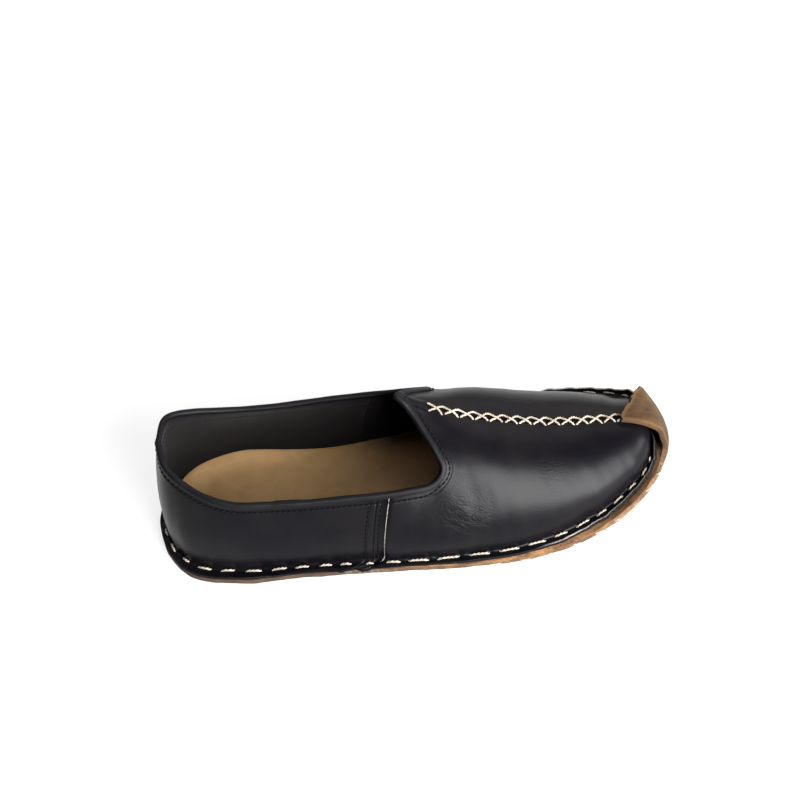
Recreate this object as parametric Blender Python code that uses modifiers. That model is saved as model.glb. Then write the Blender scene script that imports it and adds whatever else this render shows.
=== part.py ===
"""Hand-sewn leather slip-on, right foot: outsole with a folded toe tab, insole, upper and collar binding.

Lengths are millimetres until a mesh is made. X runs from heel to toe, Y to the inner side of the foot, Z up.
"""

import math

import bmesh
import bpy
import numpy as np

MM = 0.001

# Leather thicknesses and the gap that is kept where two pieces meet
SOLE_THICK = 3.2
TAB_THICK = 2.4
INSOLE_THICK = 2.2
UPPER_THICK = 1.8
UPPER_EDGE_THICK = 1.1
BINDING_THICK = 0.55
GAP = 0.3

# The lower edge of the upper is turned out as a flange and sewn down on the sole
CREASE_RADIUS = 1.6
WALL_START = 4.6
SEAM_STEP = 0.7
SEAM_GAP = 0.8
SEAM_FADE = 28.0

# Sole plane: forefoot flat, then a spring to the toe, a low arch, and an edge that cups up round the toe
SPRING_START = 192.0
SPRING_RISE = 13.0
SPRING_RUN = 93.0
ARCH_RISE = 1.5
ARCH_FROM = 78.0
ARCH_TO = 152.0
CUP_START = 196.0
CUP_RISE = 4.5
CUP_RUN = 80.0
CUP_REACH = 15.0

# The insole is dished round the heel
SEAT_RISE = 4.0
SEAT_REACH = 14.0
SEAT_FROM = 110.0
SEAT_RUN = -60.0

# Outer edge of the sole: distance from the heel, and where the outer and inner sides lie
HEEL_BACK = (1.2, 3.5)
TOE_FRONT = (281.8, 12.5)
LIP_COLUMNS = ("along", "outer", "inner")
LIP_TABLE = (
    (6.0, -20.2, 23.5),
    (18.0, -34.0, 38.0),
    (40.0, -40.5, 45.5),
    (77.0, -42.9, 42.5),
    (114.0, -47.1, 41.5),
    (148.0, -49.8, 46.5),
    (182.0, -51.7, 54.0),
    (217.0, -48.3, 57.0),
    (248.0, -37.4, 50.1),
    (264.0, -27.0, 42.6),
    (274.0, -17.4, 37.6),
    (279.0, -7.0, 28.5),
)

# How far the sole shows beyond the flange, and the flange's width, by distance from the heel
FLANGE_COLUMNS = ("along", "margin", "flange")
FLANGE_TABLE = (
    (0.0, 0.3, 3.4),
    (20.0, 0.3, 5.6),
    (45.0, 0.3, 5.1),
    (75.0, 0.0, 4.4),
    (95.0, -0.3, 4.8),
    (118.0, -0.3, 4.2),
    (145.0, 0.5, 3.8),
    (170.0, 1.2, 4.0),
    (190.0, 1.8, 4.2),
    (210.0, 2.8, 4.7),
    (230.0, 3.8, 4.7),
    (255.0, 4.7, 4.2),
    (268.0, 5.0, 3.6),
    (285.0, 5.6, 3.2),
)

# Round the inner side of the toe the flange is wider and reaches almost to the sole's edge.
# Each pair is where that starts and how far it takes to be whole, round the edge or from the heel
INNER_TOE_MARGIN = 0.3
INNER_TOE_WIDER = 0.9
INNER_TIP_WIDER = 1.6
INNER_TOE_ARC = (13.0, 13.0)
INNER_TOE_ALONG = (205.0, 28.0)
INNER_TIP_ALONG = (260.0, 8.0)

# Ridge of the last, followed by the sewn seam: side offset, height and fullness of the section
CROWN_COLUMNS = ("along", "side", "height", "fullness")
CROWN_TABLE = (
    (129.8, 5.0, 80.0, 1.20),
    (138.0, 4.0, 74.5, 1.15),
    (146.0, 3.0, 69.7, 1.10),
    (160.0, 2.5, 62.3, 1.02),
    (180.0, 2.5, 54.0, 0.97),
    (200.0, 2.5, 47.2, 0.93),
    (220.0, 2.8, 41.8, 0.90),
    (240.0, 3.2, 38.7, 0.86),
    (254.0, 3.8, 36.2, 0.82),
    (263.0, 5.0, 33.2, 0.78),
)

# The inner side falls away flatter towards the toe: distance from the heel, and how much less full it is
INNER_FULLNESS_COLUMNS = ("along", "fullness")
INNER_FULLNESS = (
    (185.0, 1.10),
    (195.0, 1.20),
    (205.0, 1.33),
    (215.0, 1.45),
    (230.0, 1.75),
    (245.0, 1.85),
    (256.0, 2.20),
    (266.0, 2.50),
)
INNER_FULLNESS_ARC = (4.0, 24.0)

# Top edge of the upper on each side, from the back of the heel to the peak of the throat
EDGE_COLUMNS = ("along", "side", "height")
OUTER_EDGE = (
    (11.2, 4.0, 68.5),
    (14.5, -11.0, 67.0),
    (26.5, -22.5, 61.0),
    (40.0, -29.0, 56.4),
    (66.0, -31.2, 52.5),
    (100.0, -32.0, 50.4),
    (128.0, -32.0, 50.0),
    (143.5, -30.0, 51.0),
    (147.8, -26.6, 55.0),
    (145.2, -18.2, 62.2),
    (140.8, -9.2, 67.6),
    (136.3, -1.6, 73.2),
    (129.8, 5.0, 80.0),
)
INNER_EDGE = (
    (11.2, 4.0, 68.5),
    (15.5, 22.0, 66.0),
    (28.0, 28.5, 60.4),
    (41.0, 30.8, 56.2),
    (66.0, 32.0, 52.6),
    (100.0, 33.2, 51.6),
    (130.0, 33.4, 50.4),
    (146.0, 32.5, 50.8),
    (150.4, 29.0, 54.4),
    (147.6, 23.2, 60.6),
    (141.2, 17.6, 67.4),
    (134.6, 11.6, 74.6),
    (129.8, 5.0, 80.0),
)
CORNER_ROW = 8
CORNER_ALONG = {"outer": 148.0, "inner": 150.0}
SEAM_ALONG = {"outer": 115.8, "inner": 115.0}

# Section of the upper: angle at the shoulder, bulge of the quarter, how fast the throat's shape fades
SHOULDER_ANGLE = math.radians(50.0)
QUARTER_BULGE = 0.35
THROAT_FADE = 22.0

# Toe tab, an extension of the sole folded up and back over the toe: its middle line and half widths
TAB_COLUMNS = ("along", "side", "height", "outer_half", "inner_half", "skew", "bow")
TAB_TABLE = (
    (274.0, 13.0, 13.6, 17.0, 14.5, 0.0, 2.5),
    (280.0, 13.2, 16.1, 19.0, 16.0, 0.0, 2.8),
    (282.2, 13.4, 20.5, 20.0, 17.4, -0.5, 4.0),
    (281.0, 13.5, 25.7, 18.8, 18.4, 0.2, 3.2),
    (277.0, 12.8, 30.2, 16.0, 17.8, -0.2, 1.4),
    (269.0, 9.8, 34.8, 11.0, 12.6, -1.0, 1.0),
    (261.0, 6.3, 37.7, 5.8, 6.6, 0.0, 0.5),
    (253.4, 3.6, 38.7, 1.2, 1.2, 0.0, 0.0),
)

# Counts of columns round the shoe and rows up it
QUARTER_COLUMNS = 24
VAMP_COLUMNS = 24
COLUMN_GATHER = 0.55
WALL_ROWS = 6
VAMP_ROWS = 9
SOLE_RINGS = (0.0, 2.5, 6.0, 10.5, 15.0)
INSOLE_RINGS = (0.0, 3.5, 7.0, 14.0)
TAB_ROWS = 13
TAB_ACROSS = 7

# Binding section: depth of its legs on the outer and inner face of the wall
BINDING_OUTER_LEG = 1.9
BINDING_INNER_LEG = 1.7
BINDING_GAP = 0.38
BINDING_CROWN = 0.35

MATERIALS = {
    "outsole": ("sole_leather", (0.32, 0.19, 0.09), 0.75),
    "insole": ("insole_leather", (0.42, 0.27, 0.13), 0.70),
    "upper": ("upper_leather", (0.018, 0.017, 0.019), 0.38),
    "collar_binding": ("binding_leather", (0.016, 0.015, 0.017), 0.45),
}


def ramp(value, start, run):
    """0 before start, 1 after start + run, and straight between."""
    return np.clip((np.asarray(value, float) - start) / run, 0.0, 1.0)


def smooth_ramp(value, start, run):
    t = ramp(value, start, run)
    return t * t * (3.0 - 2.0 * t)


def spline(knots, rows, at):
    """Smooth curve through the rows of a table, each at its knot, read at the given places."""
    knots, rows, at = np.asarray(knots, float), np.asarray(rows, float), np.asarray(at, float)
    slopes = np.gradient(rows, knots, axis=0)
    i = np.clip(np.searchsorted(knots, at) - 1, 0, len(knots) - 2)
    span = knots[i + 1] - knots[i]
    t = ((at - knots[i]) / span)[:, None]
    span = span[:, None]
    start = rows[i] * (1 + 2 * t) * (1 - t) ** 2 + slopes[i] * span * t * (1 - t) ** 2
    end = rows[i + 1] * t * t * (3 - 2 * t) + slopes[i + 1] * span * t * t * (t - 1)
    return start + end


def chord_lengths(points):
    steps = np.linalg.norm(np.diff(points, axis=0), axis=1)
    return np.concatenate([[0.0], np.cumsum(steps)])


def smooth_path(points, count):
    """Points spread evenly along a smooth curve through the given ones."""
    points = np.asarray(points, float)
    knots = chord_lengths(points)
    dense = spline(knots, points, np.linspace(0.0, knots[-1], 40 * len(points)))
    arcs = chord_lengths(dense)
    return along_path(dense, arcs, np.linspace(0.0, arcs[-1], count))


def along_path(path, arcs, at):
    return np.stack([np.interp(at, arcs, column) for column in np.asarray(path).T], axis=-1)


def table_at(table, along):
    """Every later column of a table, read at a distance from the heel."""
    table = np.array(table)
    return [np.interp(along, table[:, 0], column) for column in table[:, 1:].T]


def crown_at(along):
    """Side offset, height and fullness of the ridge."""
    table = np.array(CROWN_TABLE)
    return spline(table[:, 0], table[:, 1:], np.atleast_1d(along))


def sole_bottom(along, from_edge):
    """Height of the sole's lower face: flat, with arch, toe spring and a cupped edge round the toe."""
    spring = SPRING_RISE * ramp(along, SPRING_START, SPRING_RUN) ** 2
    arch = ARCH_RISE * np.sin(math.pi * ramp(along, ARCH_FROM, ARCH_TO - ARCH_FROM)) ** 2
    near_edge = np.clip(1.0 - np.asarray(from_edge, float) / CUP_REACH, 0.0, 1.0) ** 2
    return spring + arch + CUP_RISE * smooth_ramp(along, CUP_START, CUP_RUN) * near_edge


def sole_top(along, from_edge):
    return sole_bottom(along, from_edge) + SOLE_THICK


class Outline:
    """Outer edge of the sole as a closed path from the toe along the outer side, round the heel and back."""

    def __init__(self):
        outer = [(along, side) for along, side, _ in reversed(LIP_TABLE)]
        inner = [(along, side) for along, _, side in LIP_TABLE]
        ring = [TOE_FRONT, *outer, HEEL_BACK, *inner]
        wrapped = ring[-3:] + ring + ring[:4]
        knots = chord_lengths(np.array(wrapped))
        first, last = knots[3], knots[3 + len(ring)]
        dense = spline(knots, wrapped, np.linspace(first, last, 1200))
        self.path = dense
        self.arcs = chord_lengths(dense)
        self.whole = self.arcs[-1]
        self.heel = self.arcs[np.argmin(dense[:, 0])]

    def point(self, at):
        return along_path(self.path, self.arcs, np.asarray(at, float) % self.whole)

    def outward(self, at):
        step = 0.5
        tangent = self.point(np.asarray(at) + step) - self.point(np.asarray(at) - step)
        tangent /= np.linalg.norm(tangent, axis=-1, keepdims=True)
        return np.stack([-tangent[..., 1], tangent[..., 0]], axis=-1)

    def inset(self, at, distance):
        return self.point(at) - self.outward(at) * np.asarray(distance, float)[..., None]

    def arc_at(self, along, side):
        """Arc where the outer or inner half of the path passes a distance from the heel."""
        half = self.arcs <= self.heel if side == "outer" else self.arcs >= self.heel
        return self.arcs[half][np.argmin(np.abs(self.path[half, 0] - along))]


OUTLINE = Outline()


def inner_arc(arcs):
    """Arc from the toe's front along the inner side, negative on the outer side."""
    arcs = np.asarray(arcs, float)
    return np.where(arcs > OUTLINE.whole / 2, OUTLINE.whole - arcs, -arcs)


def flange_at(arcs):
    """Sole's margin beyond the flange, and the flange's width, at places round the edge."""
    along = OUTLINE.point(arcs)[..., 0]
    margin, flange = table_at(FLANGE_TABLE, along)
    inner = smooth_ramp(inner_arc(arcs), *INNER_TOE_ARC) * smooth_ramp(along, *INNER_TOE_ALONG)
    wider = INNER_TOE_WIDER + INNER_TIP_WIDER * smooth_ramp(along, *INNER_TIP_ALONG)
    return margin + (INNER_TOE_MARGIN - margin) * inner, flange + wider * inner


def fullness_at(arcs):
    """How much less full a section is than the ridge's table says, which is only on the inner side."""
    flatter = table_at(INNER_FULLNESS, OUTLINE.point(arcs)[..., 0])[0] - 1.0
    return 1.0 + flatter * smooth_ramp(inner_arc(arcs), *INNER_FULLNESS_ARC)


def spaced(start, end, count):
    """Places from start to end that gather at both."""
    t = np.linspace(0.0, 1.0, count + 1)
    return start + (end - start) * (t - COLUMN_GATHER * np.sin(2 * math.pi * t) / (2 * math.pi))


def quarter_arcs(corner):
    return spaced(corner, OUTLINE.heel, QUARTER_COLUMNS)


def with_seam(arcs, seam):
    """Moves the nearest two inner places onto both edges of a side seam."""
    arcs = arcs.copy()
    i = int(np.clip(np.argmin(np.abs(arcs - seam)), 1, len(arcs) - 3))
    step = math.copysign(SEAM_GAP / 2, arcs[-1] - arcs[0])
    arcs[i], arcs[i + 1] = seam - step, seam + step
    return arcs


class Upper:
    """Grid of the upper's outer face: columns round the shoe, rows from flange to top edge or ridge."""

    def __init__(self):
        self.flange_rows = 4
        self.shoulder_row = self.flange_rows + WALL_ROWS - 2
        self.ridge_row = self.shoulder_row + VAMP_ROWS
        self.corner = {side: OUTLINE.arc_at(CORNER_ALONG[side], side) for side in ("outer", "inner")}
        self.seam = {side: OUTLINE.arc_at(SEAM_ALONG[side], side) for side in ("outer", "inner")}
        self.toe = {"outer": 0.0, "inner": OUTLINE.whole}
        self.edge = {"outer": np.array(OUTER_EDGE), "inner": np.array(INNER_EDGE)}
        self.quarter = {side: self.make_quarter(side) for side in ("outer", "inner")}
        self.vamp = self.make_vamp()

    def foot(self, arcs):
        """Rows of the flange and crease above the sole, and the point where the wall starts."""
        edge = OUTLINE.point(arcs)
        margin, flange = flange_at(arcs)
        rise = GAP + UPPER_THICK
        rows = []
        # Each pair is a distance from the flange's free edge and a height above the flange
        for inward, lift in (
            (0.0 * flange, 0.0),
            (flange - CREASE_RADIUS, 0.1),
            (flange - 0.25 * CREASE_RADIUS, 0.4 * CREASE_RADIUS),
            (flange, WALL_START - rise),
        ):
            plan = OUTLINE.inset(arcs, margin + inward)
            height = sole_top(edge[:, 0], margin + inward) + rise + lift
            rows.append(np.column_stack([plan, height]))
        return rows

    def wall(self, start, end, share):
        """Row of the quarter's wall between foot and top edge, bulging a little before it leans in."""
        plan = (1.0 + QUARTER_BULGE) * share**2 - QUARTER_BULGE * share
        row = start + (end - start) * share
        row[:, :2] = start[:, :2] + (end[:, :2] - start[:, :2]) * plan
        return row

    def make_quarter(self, side):
        """Columns from the throat's corner to the heel: [row][column] points."""
        arcs = with_seam(quarter_arcs(self.corner[side]), self.seam[side])
        share = (arcs - arcs[0]) / (arcs[-1] - arcs[0])
        path = smooth_path(self.edge[side][: CORNER_ROW + 1], 200)[::-1]
        top = along_path(path, np.linspace(0.0, 1.0, len(path)), share)
        rows = self.foot(arcs)
        for step in range(1, WALL_ROWS):
            rows.append(self.wall(rows[self.flange_rows - 1], top, np.full(1, step / (WALL_ROWS - 1))))
        return self.step_seam(np.array(rows), arcs, side)

    def step_seam(self, rows, arcs, side):
        """Sinks the quarter behind the side seam, where the vamp's leather laps it, below the binding."""
        behind = (arcs - self.seam[side]) * math.copysign(1.0, arcs[-1] - arcs[0])
        sink = np.where(behind > 0, SEAM_STEP * np.exp(-((behind / SEAM_FADE) ** 2)), 0.0)
        rows[1 : self.shoulder_row, :, :2] -= OUTLINE.outward(arcs) * sink[:, None]
        return rows

    def vamp_arcs(self, side):
        return spaced(self.corner[side], self.toe[side], VAMP_COLUMNS)

    def rib(self, foot, ridge, angle, full):
        """Row of the vamp at an angle round the section, 0 at its foot and a quarter turn at the ridge."""
        plan = 1.0 - math.cos(angle)
        lift = math.sin(angle) ** (ridge[:, 3] * full)
        row = np.empty_like(foot)
        row[:, :2] = foot[:, :2] + (ridge[:, :2] - foot[:, :2]) * plan
        row[:, 2] = foot[:, 2] + (ridge[:, 2] - foot[:, 2]) * lift
        return row

    def angles(self):
        low = [SHOULDER_ANGLE * step / (WALL_ROWS - 1) for step in range(1, WALL_ROWS)]
        high = [
            SHOULDER_ANGLE + (math.pi / 2 - SHOULDER_ANGLE) * step / VAMP_ROWS
            for step in range(1, VAMP_ROWS + 1)
        ]
        return low + high

    def ridge_points(self):
        """Points of the ridge, one for each pair of vamp columns, with the fullness there."""
        feet = [OUTLINE.point(self.vamp_arcs(side))[:, 0] for side in ("outer", "inner")]
        mean = (feet[0] + feet[1]) / 2
        share = (mean - mean[0]) / (mean[-1] - mean[0])
        first, last = CROWN_TABLE[0][0], CROWN_TABLE[-1][0]
        along = first + (last - first) * share
        return np.column_stack([along, crown_at(along)])

    def make_vamp(self):
        """Columns from the throat to the toe for both sides, [row][column] points that meet on the ridge."""
        ridge = self.ridge_points()
        made = {}
        for side in ("outer", "inner"):
            arcs = self.vamp_arcs(side)
            rows = self.foot(arcs)
            foot = rows[self.flange_rows - 1]
            full = fullness_at(arcs)
            rows += [self.rib(foot, ridge, angle, full) for angle in self.angles()]
            rows = np.array(rows)
            throat = smooth_path(self.edge[side][CORNER_ROW:], VAMP_ROWS + 1)
            column = np.concatenate([self.quarter[side][: self.shoulder_row, 0], throat])
            fade = np.exp(-(((arcs - arcs[0]) / THROAT_FADE) ** 2))
            rows += (column - rows[:, 0])[:, None, :] * fade[None, :, None]
            rows[self.ridge_row] = ridge[:, :3]
            made[side] = rows
        return made


UPPER = Upper()


def new_object(name, mesh, collection):
    obj = bpy.data.objects.new(name, mesh)
    collection.objects.link(obj)
    return obj


def grid_mesh(name, columns):
    """Mesh over columns of points, joined round in a ring. Equal points become one."""
    form = bmesh.new()
    made = {}

    def vertex(point):
        key = tuple(np.round(point, 4))
        if key not in made:
            made[key] = form.verts.new(np.array(key) * MM)
        return made[key]

    for left, right in zip(columns, columns[1:] + columns[:1]):
        for row in range(min(len(left), len(right)) - 1):
            corners = [vertex(p) for p in (left[row], right[row], right[row + 1], left[row + 1])]
            corners = list(dict.fromkeys(corners))
            if len(corners) > 2:
                form.faces.new(corners)
    bmesh.ops.recalc_face_normals(form, faces=form.faces)
    mesh = bpy.data.meshes.new(name)
    form.to_mesh(mesh)
    form.free()
    return mesh


def face_outward(mesh, probe_axis=2):
    """Turns an open sheet so that its highest face looks up."""
    top = max(mesh.polygons, key=lambda face: face.center[probe_axis])
    if top.normal[probe_axis] < 0:
        mesh.flip_normals()


def upper_columns():
    """Columns in order round the shoe: outer quarter, inner quarter, inner vamp, outer vamp."""
    rows = UPPER.quarter["outer"]
    columns = [rows[:, i] for i in range(rows.shape[1])]
    rows = UPPER.quarter["inner"]
    columns += [rows[:, i] for i in range(rows.shape[1] - 2, 0, -1)]
    rows = UPPER.vamp["inner"]
    columns += [rows[:, i] for i in range(rows.shape[1])]
    rows = UPPER.vamp["outer"]
    columns += [rows[:, i] for i in range(rows.shape[1] - 2, -1, -1)]
    return columns


def add_wall(obj, thickness, group=None, thinnest=1.0):
    wall = obj.modifiers.new("wall", "SOLIDIFY")
    wall.thickness = thickness * MM
    wall.offset = -1.0
    wall.use_even_offset = True
    wall.use_quality_normals = True
    if group:
        wall.vertex_group = group
        wall.thickness_vertex_group = thinnest
    return wall


def find_vertices(mesh, points):
    """Numbers of the mesh's vertices that lie at the points."""
    places = np.array([vertex.co for vertex in mesh.vertices]) / MM
    return [int(np.argmin(np.sum((places - point) ** 2, axis=1))) for point in points]


def make_upper(collection):
    mesh = grid_mesh("upper", upper_columns())
    face_outward(mesh)
    obj = new_object("upper", mesh, collection)
    group = obj.vertex_groups.new(name="full_thickness")
    group.add(range(len(mesh.vertices)), 1.0, "REPLACE")
    group.add(find_vertices(mesh, top_edge()[0]), 0.0, "REPLACE")
    add_wall(obj, UPPER_THICK, group.name, UPPER_EDGE_THICK / UPPER_THICK)
    return obj


def top_edge():
    """Closed top edge of the upper, from the throat's peak down the outer side, and the row below."""
    points, below = [], []
    for side, heading in (("outer", 1), ("inner", -1)):
        vamp, quarter = UPPER.vamp[side], UPPER.quarter[side]
        throat = range(UPPER.ridge_row, UPPER.shoulder_row, -1)
        run = [(vamp[row, 0], vamp[row, 1]) for row in throat]
        corner = quarter[UPPER.shoulder_row, 0]
        run.append((corner, vamp[UPPER.shoulder_row - 1, 1]))
        for i in range(1, quarter.shape[1]):
            run.append((quarter[UPPER.shoulder_row, i], quarter[UPPER.shoulder_row - 1, i]))
        if heading < 0:
            run = run[1:-1][::-1]
        points += [p for p, _ in run]
        below += [b for _, b in run]
    return np.array(points), np.array(below)


def unit(vectors):
    return vectors / np.linalg.norm(vectors, axis=1, keepdims=True)


def make_binding(collection, upper):
    """Narrow strip folded over the top edge: its section is drawn on both faces of the upper's wall."""
    points, below = (find_vertices(upper.data, place) for place in top_edge())
    graph = bpy.context.evaluated_depsgraph_get()
    walled = np.array([vertex.co for vertex in upper.evaluated_get(graph).data.vertices]) / MM
    inside = len(upper.data.vertices)
    edge = walled[points]
    ahead = unit(np.roll(edge, -1, axis=0) - np.roll(edge, 1, axis=0))
    across = edge - walled[np.array(points) + inside]
    faces = []
    for shift, heading in ((0, 1.0), (inside, -1.0)):
        start = walled[np.array(points) + shift]
        down = unit(walled[np.array(below) + shift] - start)
        outward = unit(np.cross(ahead, down))
        outward *= np.sign(np.sum(outward * across, axis=1, keepdims=True)) * heading
        faces.append((start, down, outward))
    (outer, outer_down, out), (inner, inner_down, within) = faces
    up = -unit(outer_down + inner_down)
    full = BINDING_GAP + BINDING_THICK
    ring = (
        outer + out * full + outer_down * BINDING_OUTER_LEG,
        outer + out * full,
        outer + out * 0.6 * full + up * 0.75 * full,
        (outer + inner) / 2 + up * (full + BINDING_CROWN),
        inner + within * 0.6 * full + up * 0.75 * full,
        inner + within * full,
        inner + within * full + inner_down * BINDING_INNER_LEG,
        inner + within * BINDING_GAP + inner_down * BINDING_INNER_LEG,
        inner + within * BINDING_GAP + up * BINDING_GAP,
        outer + out * BINDING_GAP + up * BINDING_GAP,
        outer + out * BINDING_GAP + outer_down * BINDING_OUTER_LEG,
    )
    columns = [[place[i] for place in (*ring, ring[0])] for i in range(len(edge))]
    return new_object("collar_binding", grid_mesh("collar_binding", columns), collection)


def plate_columns(outline_inset, rings, height):
    """Columns of a plate from its edge in to a line down the middle, where the two sides meet in pairs."""
    sides = [
        np.concatenate([UPPER.vamp_arcs(side)[::-1], quarter_arcs(UPPER.corner[side])[1:]])
        for side in ("outer", "inner")
    ]
    pairs = middle_line(sum(OUTLINE.point(arcs)[:, 0] for arcs in sides) / 2)
    arcs = np.concatenate([sides[0], sides[1][-2:0:-1]])
    middle = np.concatenate([pairs, pairs[-2:0:-1]])
    inset = outline_inset(arcs)
    start = OUTLINE.inset(arcs, inset)
    made = []
    for i in range(len(arcs)):
        reach = np.linalg.norm(middle[i] - start[i])
        points = [start[i] + (middle[i] - start[i]) * share for share in (*(np.array(rings) / reach), 1.0)]
        from_edge = [inset[i] + np.linalg.norm(p - start[i]) for p in points]
        made.append([np.array([*p, height(p[0], far)]) for p, far in zip(points, from_edge)])
    return made


def middle_line(along):
    """Line down the middle of a plate, short of the heel and toe by a little."""
    first, last = 34.0, 248.0
    x = first + (last - first) * ramp(along, 0.0, TOE_FRONT[0])
    table = np.array(LIP_TABLE)
    y = np.interp(x, table[:, 0], (table[:, 1] + table[:, 2]) / 2)
    return np.column_stack([x, y])


def make_tab(collection):
    """The folded tab, a leather sheet that is joined to the outsole."""
    table = np.array(TAB_TABLE)
    path = smooth_path(table, TAB_ROWS)
    columns = []
    for across in np.linspace(-1.0, 1.0, TAB_ACROSS):
        column = []
        for along, side, height, outer_half, inner_half, skew, bow in path:
            half = inner_half if across > 0 else outer_half
            back = bow * across * across - skew * across
            column.append((along - back, side + across * half, height - 0.25 * bow * across * across))
        columns.append(np.array(column))
    mesh = sheet_mesh("toe_tab", columns)
    obj = new_object("toe_tab", mesh, collection)
    add_wall(obj, TAB_THICK)
    obj.modifiers["wall"].offset = 0.0
    obj.hide_render = True
    obj.display_type = "WIRE"
    return obj


def sheet_mesh(name, columns):
    """Open sheet over columns of points that aren't joined round."""
    count, rows = len(columns), len(columns[0])
    vertices = [tuple(np.asarray(p) * MM) for column in columns for p in column]
    faces = [
        (c * rows + r, (c + 1) * rows + r, (c + 1) * rows + r + 1, c * rows + r + 1)
        for c in range(count - 1)
        for r in range(rows - 1)
    ]
    mesh = bpy.data.meshes.new(name)
    mesh.from_pydata(vertices, [], faces)
    mesh.validate()
    return mesh


def make_outsole(collection, helpers):
    columns = plate_columns(np.zeros_like, SOLE_RINGS, sole_top)
    mesh = grid_mesh("outsole", columns)
    face_outward(mesh)
    obj = new_object("outsole", mesh, collection)
    add_wall(obj, SOLE_THICK)
    joined = obj.modifiers.new("toe_tab", "BOOLEAN")
    joined.operation = "UNION"
    joined.object = make_tab(helpers)
    return obj


def make_insole(collection):
    def inset(arcs):
        margin, flange = table_at(FLANGE_TABLE, OUTLINE.point(arcs)[:, 0])
        return margin + flange + UPPER_THICK + 2 * GAP

    def height(along, from_edge):
        margin, flange = table_at(FLANGE_TABLE, along)
        inside = np.clip(1.0 - (from_edge - margin - flange - UPPER_THICK) / SEAT_REACH, 0.0, 1.0)
        seat = SEAT_RISE * smooth_ramp(along, SEAT_FROM, SEAT_RUN) * inside**2 * (3.0 - 2.0 * inside)
        return sole_top(along, from_edge) + GAP + INSOLE_THICK + seat

    mesh = grid_mesh("insole", plate_columns(inset, INSOLE_RINGS, height))
    face_outward(mesh)
    obj = new_object("insole", mesh, collection)
    add_wall(obj, INSOLE_THICK)
    return obj


def leather(name, colour, roughness):
    material = bpy.data.materials.new(name)
    material.use_nodes = True
    shader = material.node_tree.nodes["Principled BSDF"]
    shader.inputs["Base Color"].default_value = (*colour, 1.0)
    shader.inputs["Roughness"].default_value = roughness
    shader.inputs["Metallic"].default_value = 0.0
    return material


def stand_on_origin(parts, helpers, collection):
    """Parents the parts to an empty that centres their footprint and sets the sole on the floor."""
    bpy.context.view_layer.update()
    graph = bpy.context.evaluated_depsgraph_get()
    corners = np.array([corner for part in parts for corner in part.evaluated_get(graph).bound_box])
    low, high = corners.min(axis=0), corners.max(axis=0)
    frame = bpy.data.objects.new("shoe_frame", None)
    frame.location = (-(low[0] + high[0]) / 2, -(low[1] + high[1]) / 2, -low[2])
    collection.objects.link(frame)
    for part in (*parts, *helpers):
        part.parent = frame


def main():
    for obj in list(bpy.data.objects):
        bpy.data.objects.remove(obj)
    shoe = bpy.data.collections.new("slip_on_shoe")
    helpers = bpy.data.collections.new("joined_shapes")
    for collection in (shoe, helpers):
        bpy.context.scene.collection.children.link(collection)
    upper = make_upper(shoe)
    parts = [make_outsole(shoe, helpers), make_insole(shoe), upper, make_binding(shoe, upper)]
    for part in parts:
        part.data.materials.append(leather(*MATERIALS[part.name]))
        part.data.shade_smooth()
    stand_on_origin(parts, helpers.objects, shoe)


main()
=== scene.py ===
"""Hand-sewn leather slip-on shoe, right foot: leathers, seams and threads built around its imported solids.

Lengths in the tables are millimetres. Along runs from the heel to the toe, and side towards the inner side
of the foot.
"""

import functools
import math

import bpy
import numpy as np
from mathutils import Matrix, Vector, noise
from mathutils.bvhtree import BVHTree


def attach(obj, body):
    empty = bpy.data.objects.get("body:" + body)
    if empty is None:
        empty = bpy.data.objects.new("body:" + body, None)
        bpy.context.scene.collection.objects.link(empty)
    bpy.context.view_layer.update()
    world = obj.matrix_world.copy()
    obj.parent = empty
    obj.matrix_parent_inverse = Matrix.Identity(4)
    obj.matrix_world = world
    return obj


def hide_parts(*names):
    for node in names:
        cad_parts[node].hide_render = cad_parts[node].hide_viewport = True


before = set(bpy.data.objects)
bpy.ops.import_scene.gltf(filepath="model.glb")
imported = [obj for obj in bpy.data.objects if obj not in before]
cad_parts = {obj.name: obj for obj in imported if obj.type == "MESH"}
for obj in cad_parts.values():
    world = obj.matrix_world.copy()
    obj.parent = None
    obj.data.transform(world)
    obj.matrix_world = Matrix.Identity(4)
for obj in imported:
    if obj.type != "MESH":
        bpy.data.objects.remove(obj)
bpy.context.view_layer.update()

bl_info = {
    "name": "Hand-sewn slip-on shoe",
    "version": (1, 0, 0),
    "blender": (4, 5, 0),
    "location": "View3D > Sidebar > Shoe",
    "description": "Dresses the solids of a leather slip-on shoe with leather, seams and thread",
    "category": "Object",
}

MM = 0.001
SIDES = ("outer", "inner")
SEED = 17

# Where the frame's origin lies, measured from the heel, the last's middle and the floor
ORIGIN = np.array((142.5032, 2.8152, 0.0))

# Leather thicknesses, with the shares left on the tab and at the upper's top edge, the small gap between
# pieces, the radius of the flange's crease, and how far above the sole the wall starts
SOLE_THICK = 3.2
TAB_SHARE = 0.85
INSOLE_THICK = 2.2
UPPER_THICK = 1.8
UPPER_EDGE_SHARE, UPPER_EDGE_RUN = 0.61, 3.0
GAP = 0.3
CREASE_RADIUS = 1.3
WALL_START = 4.6

# Sole plane: forefoot flat, then a spring to the toe, a low arch, and an edge that cups up round the toe
SPRING_START, SPRING_RISE, SPRING_RUN = 192.0, 13.0, 93.0
ARCH_RISE, ARCH_FROM, ARCH_TO = 1.5, 78.0, 152.0
CUP_START, CUP_RISE, CUP_RUN, CUP_REACH = 196.0, 4.5, 80.0, 15.0

# The insole is dished round the heel
SEAT_RISE, SEAT_REACH, SEAT_FROM, SEAT_RUN = 4.0, 14.0, 110.0, -60.0

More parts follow.
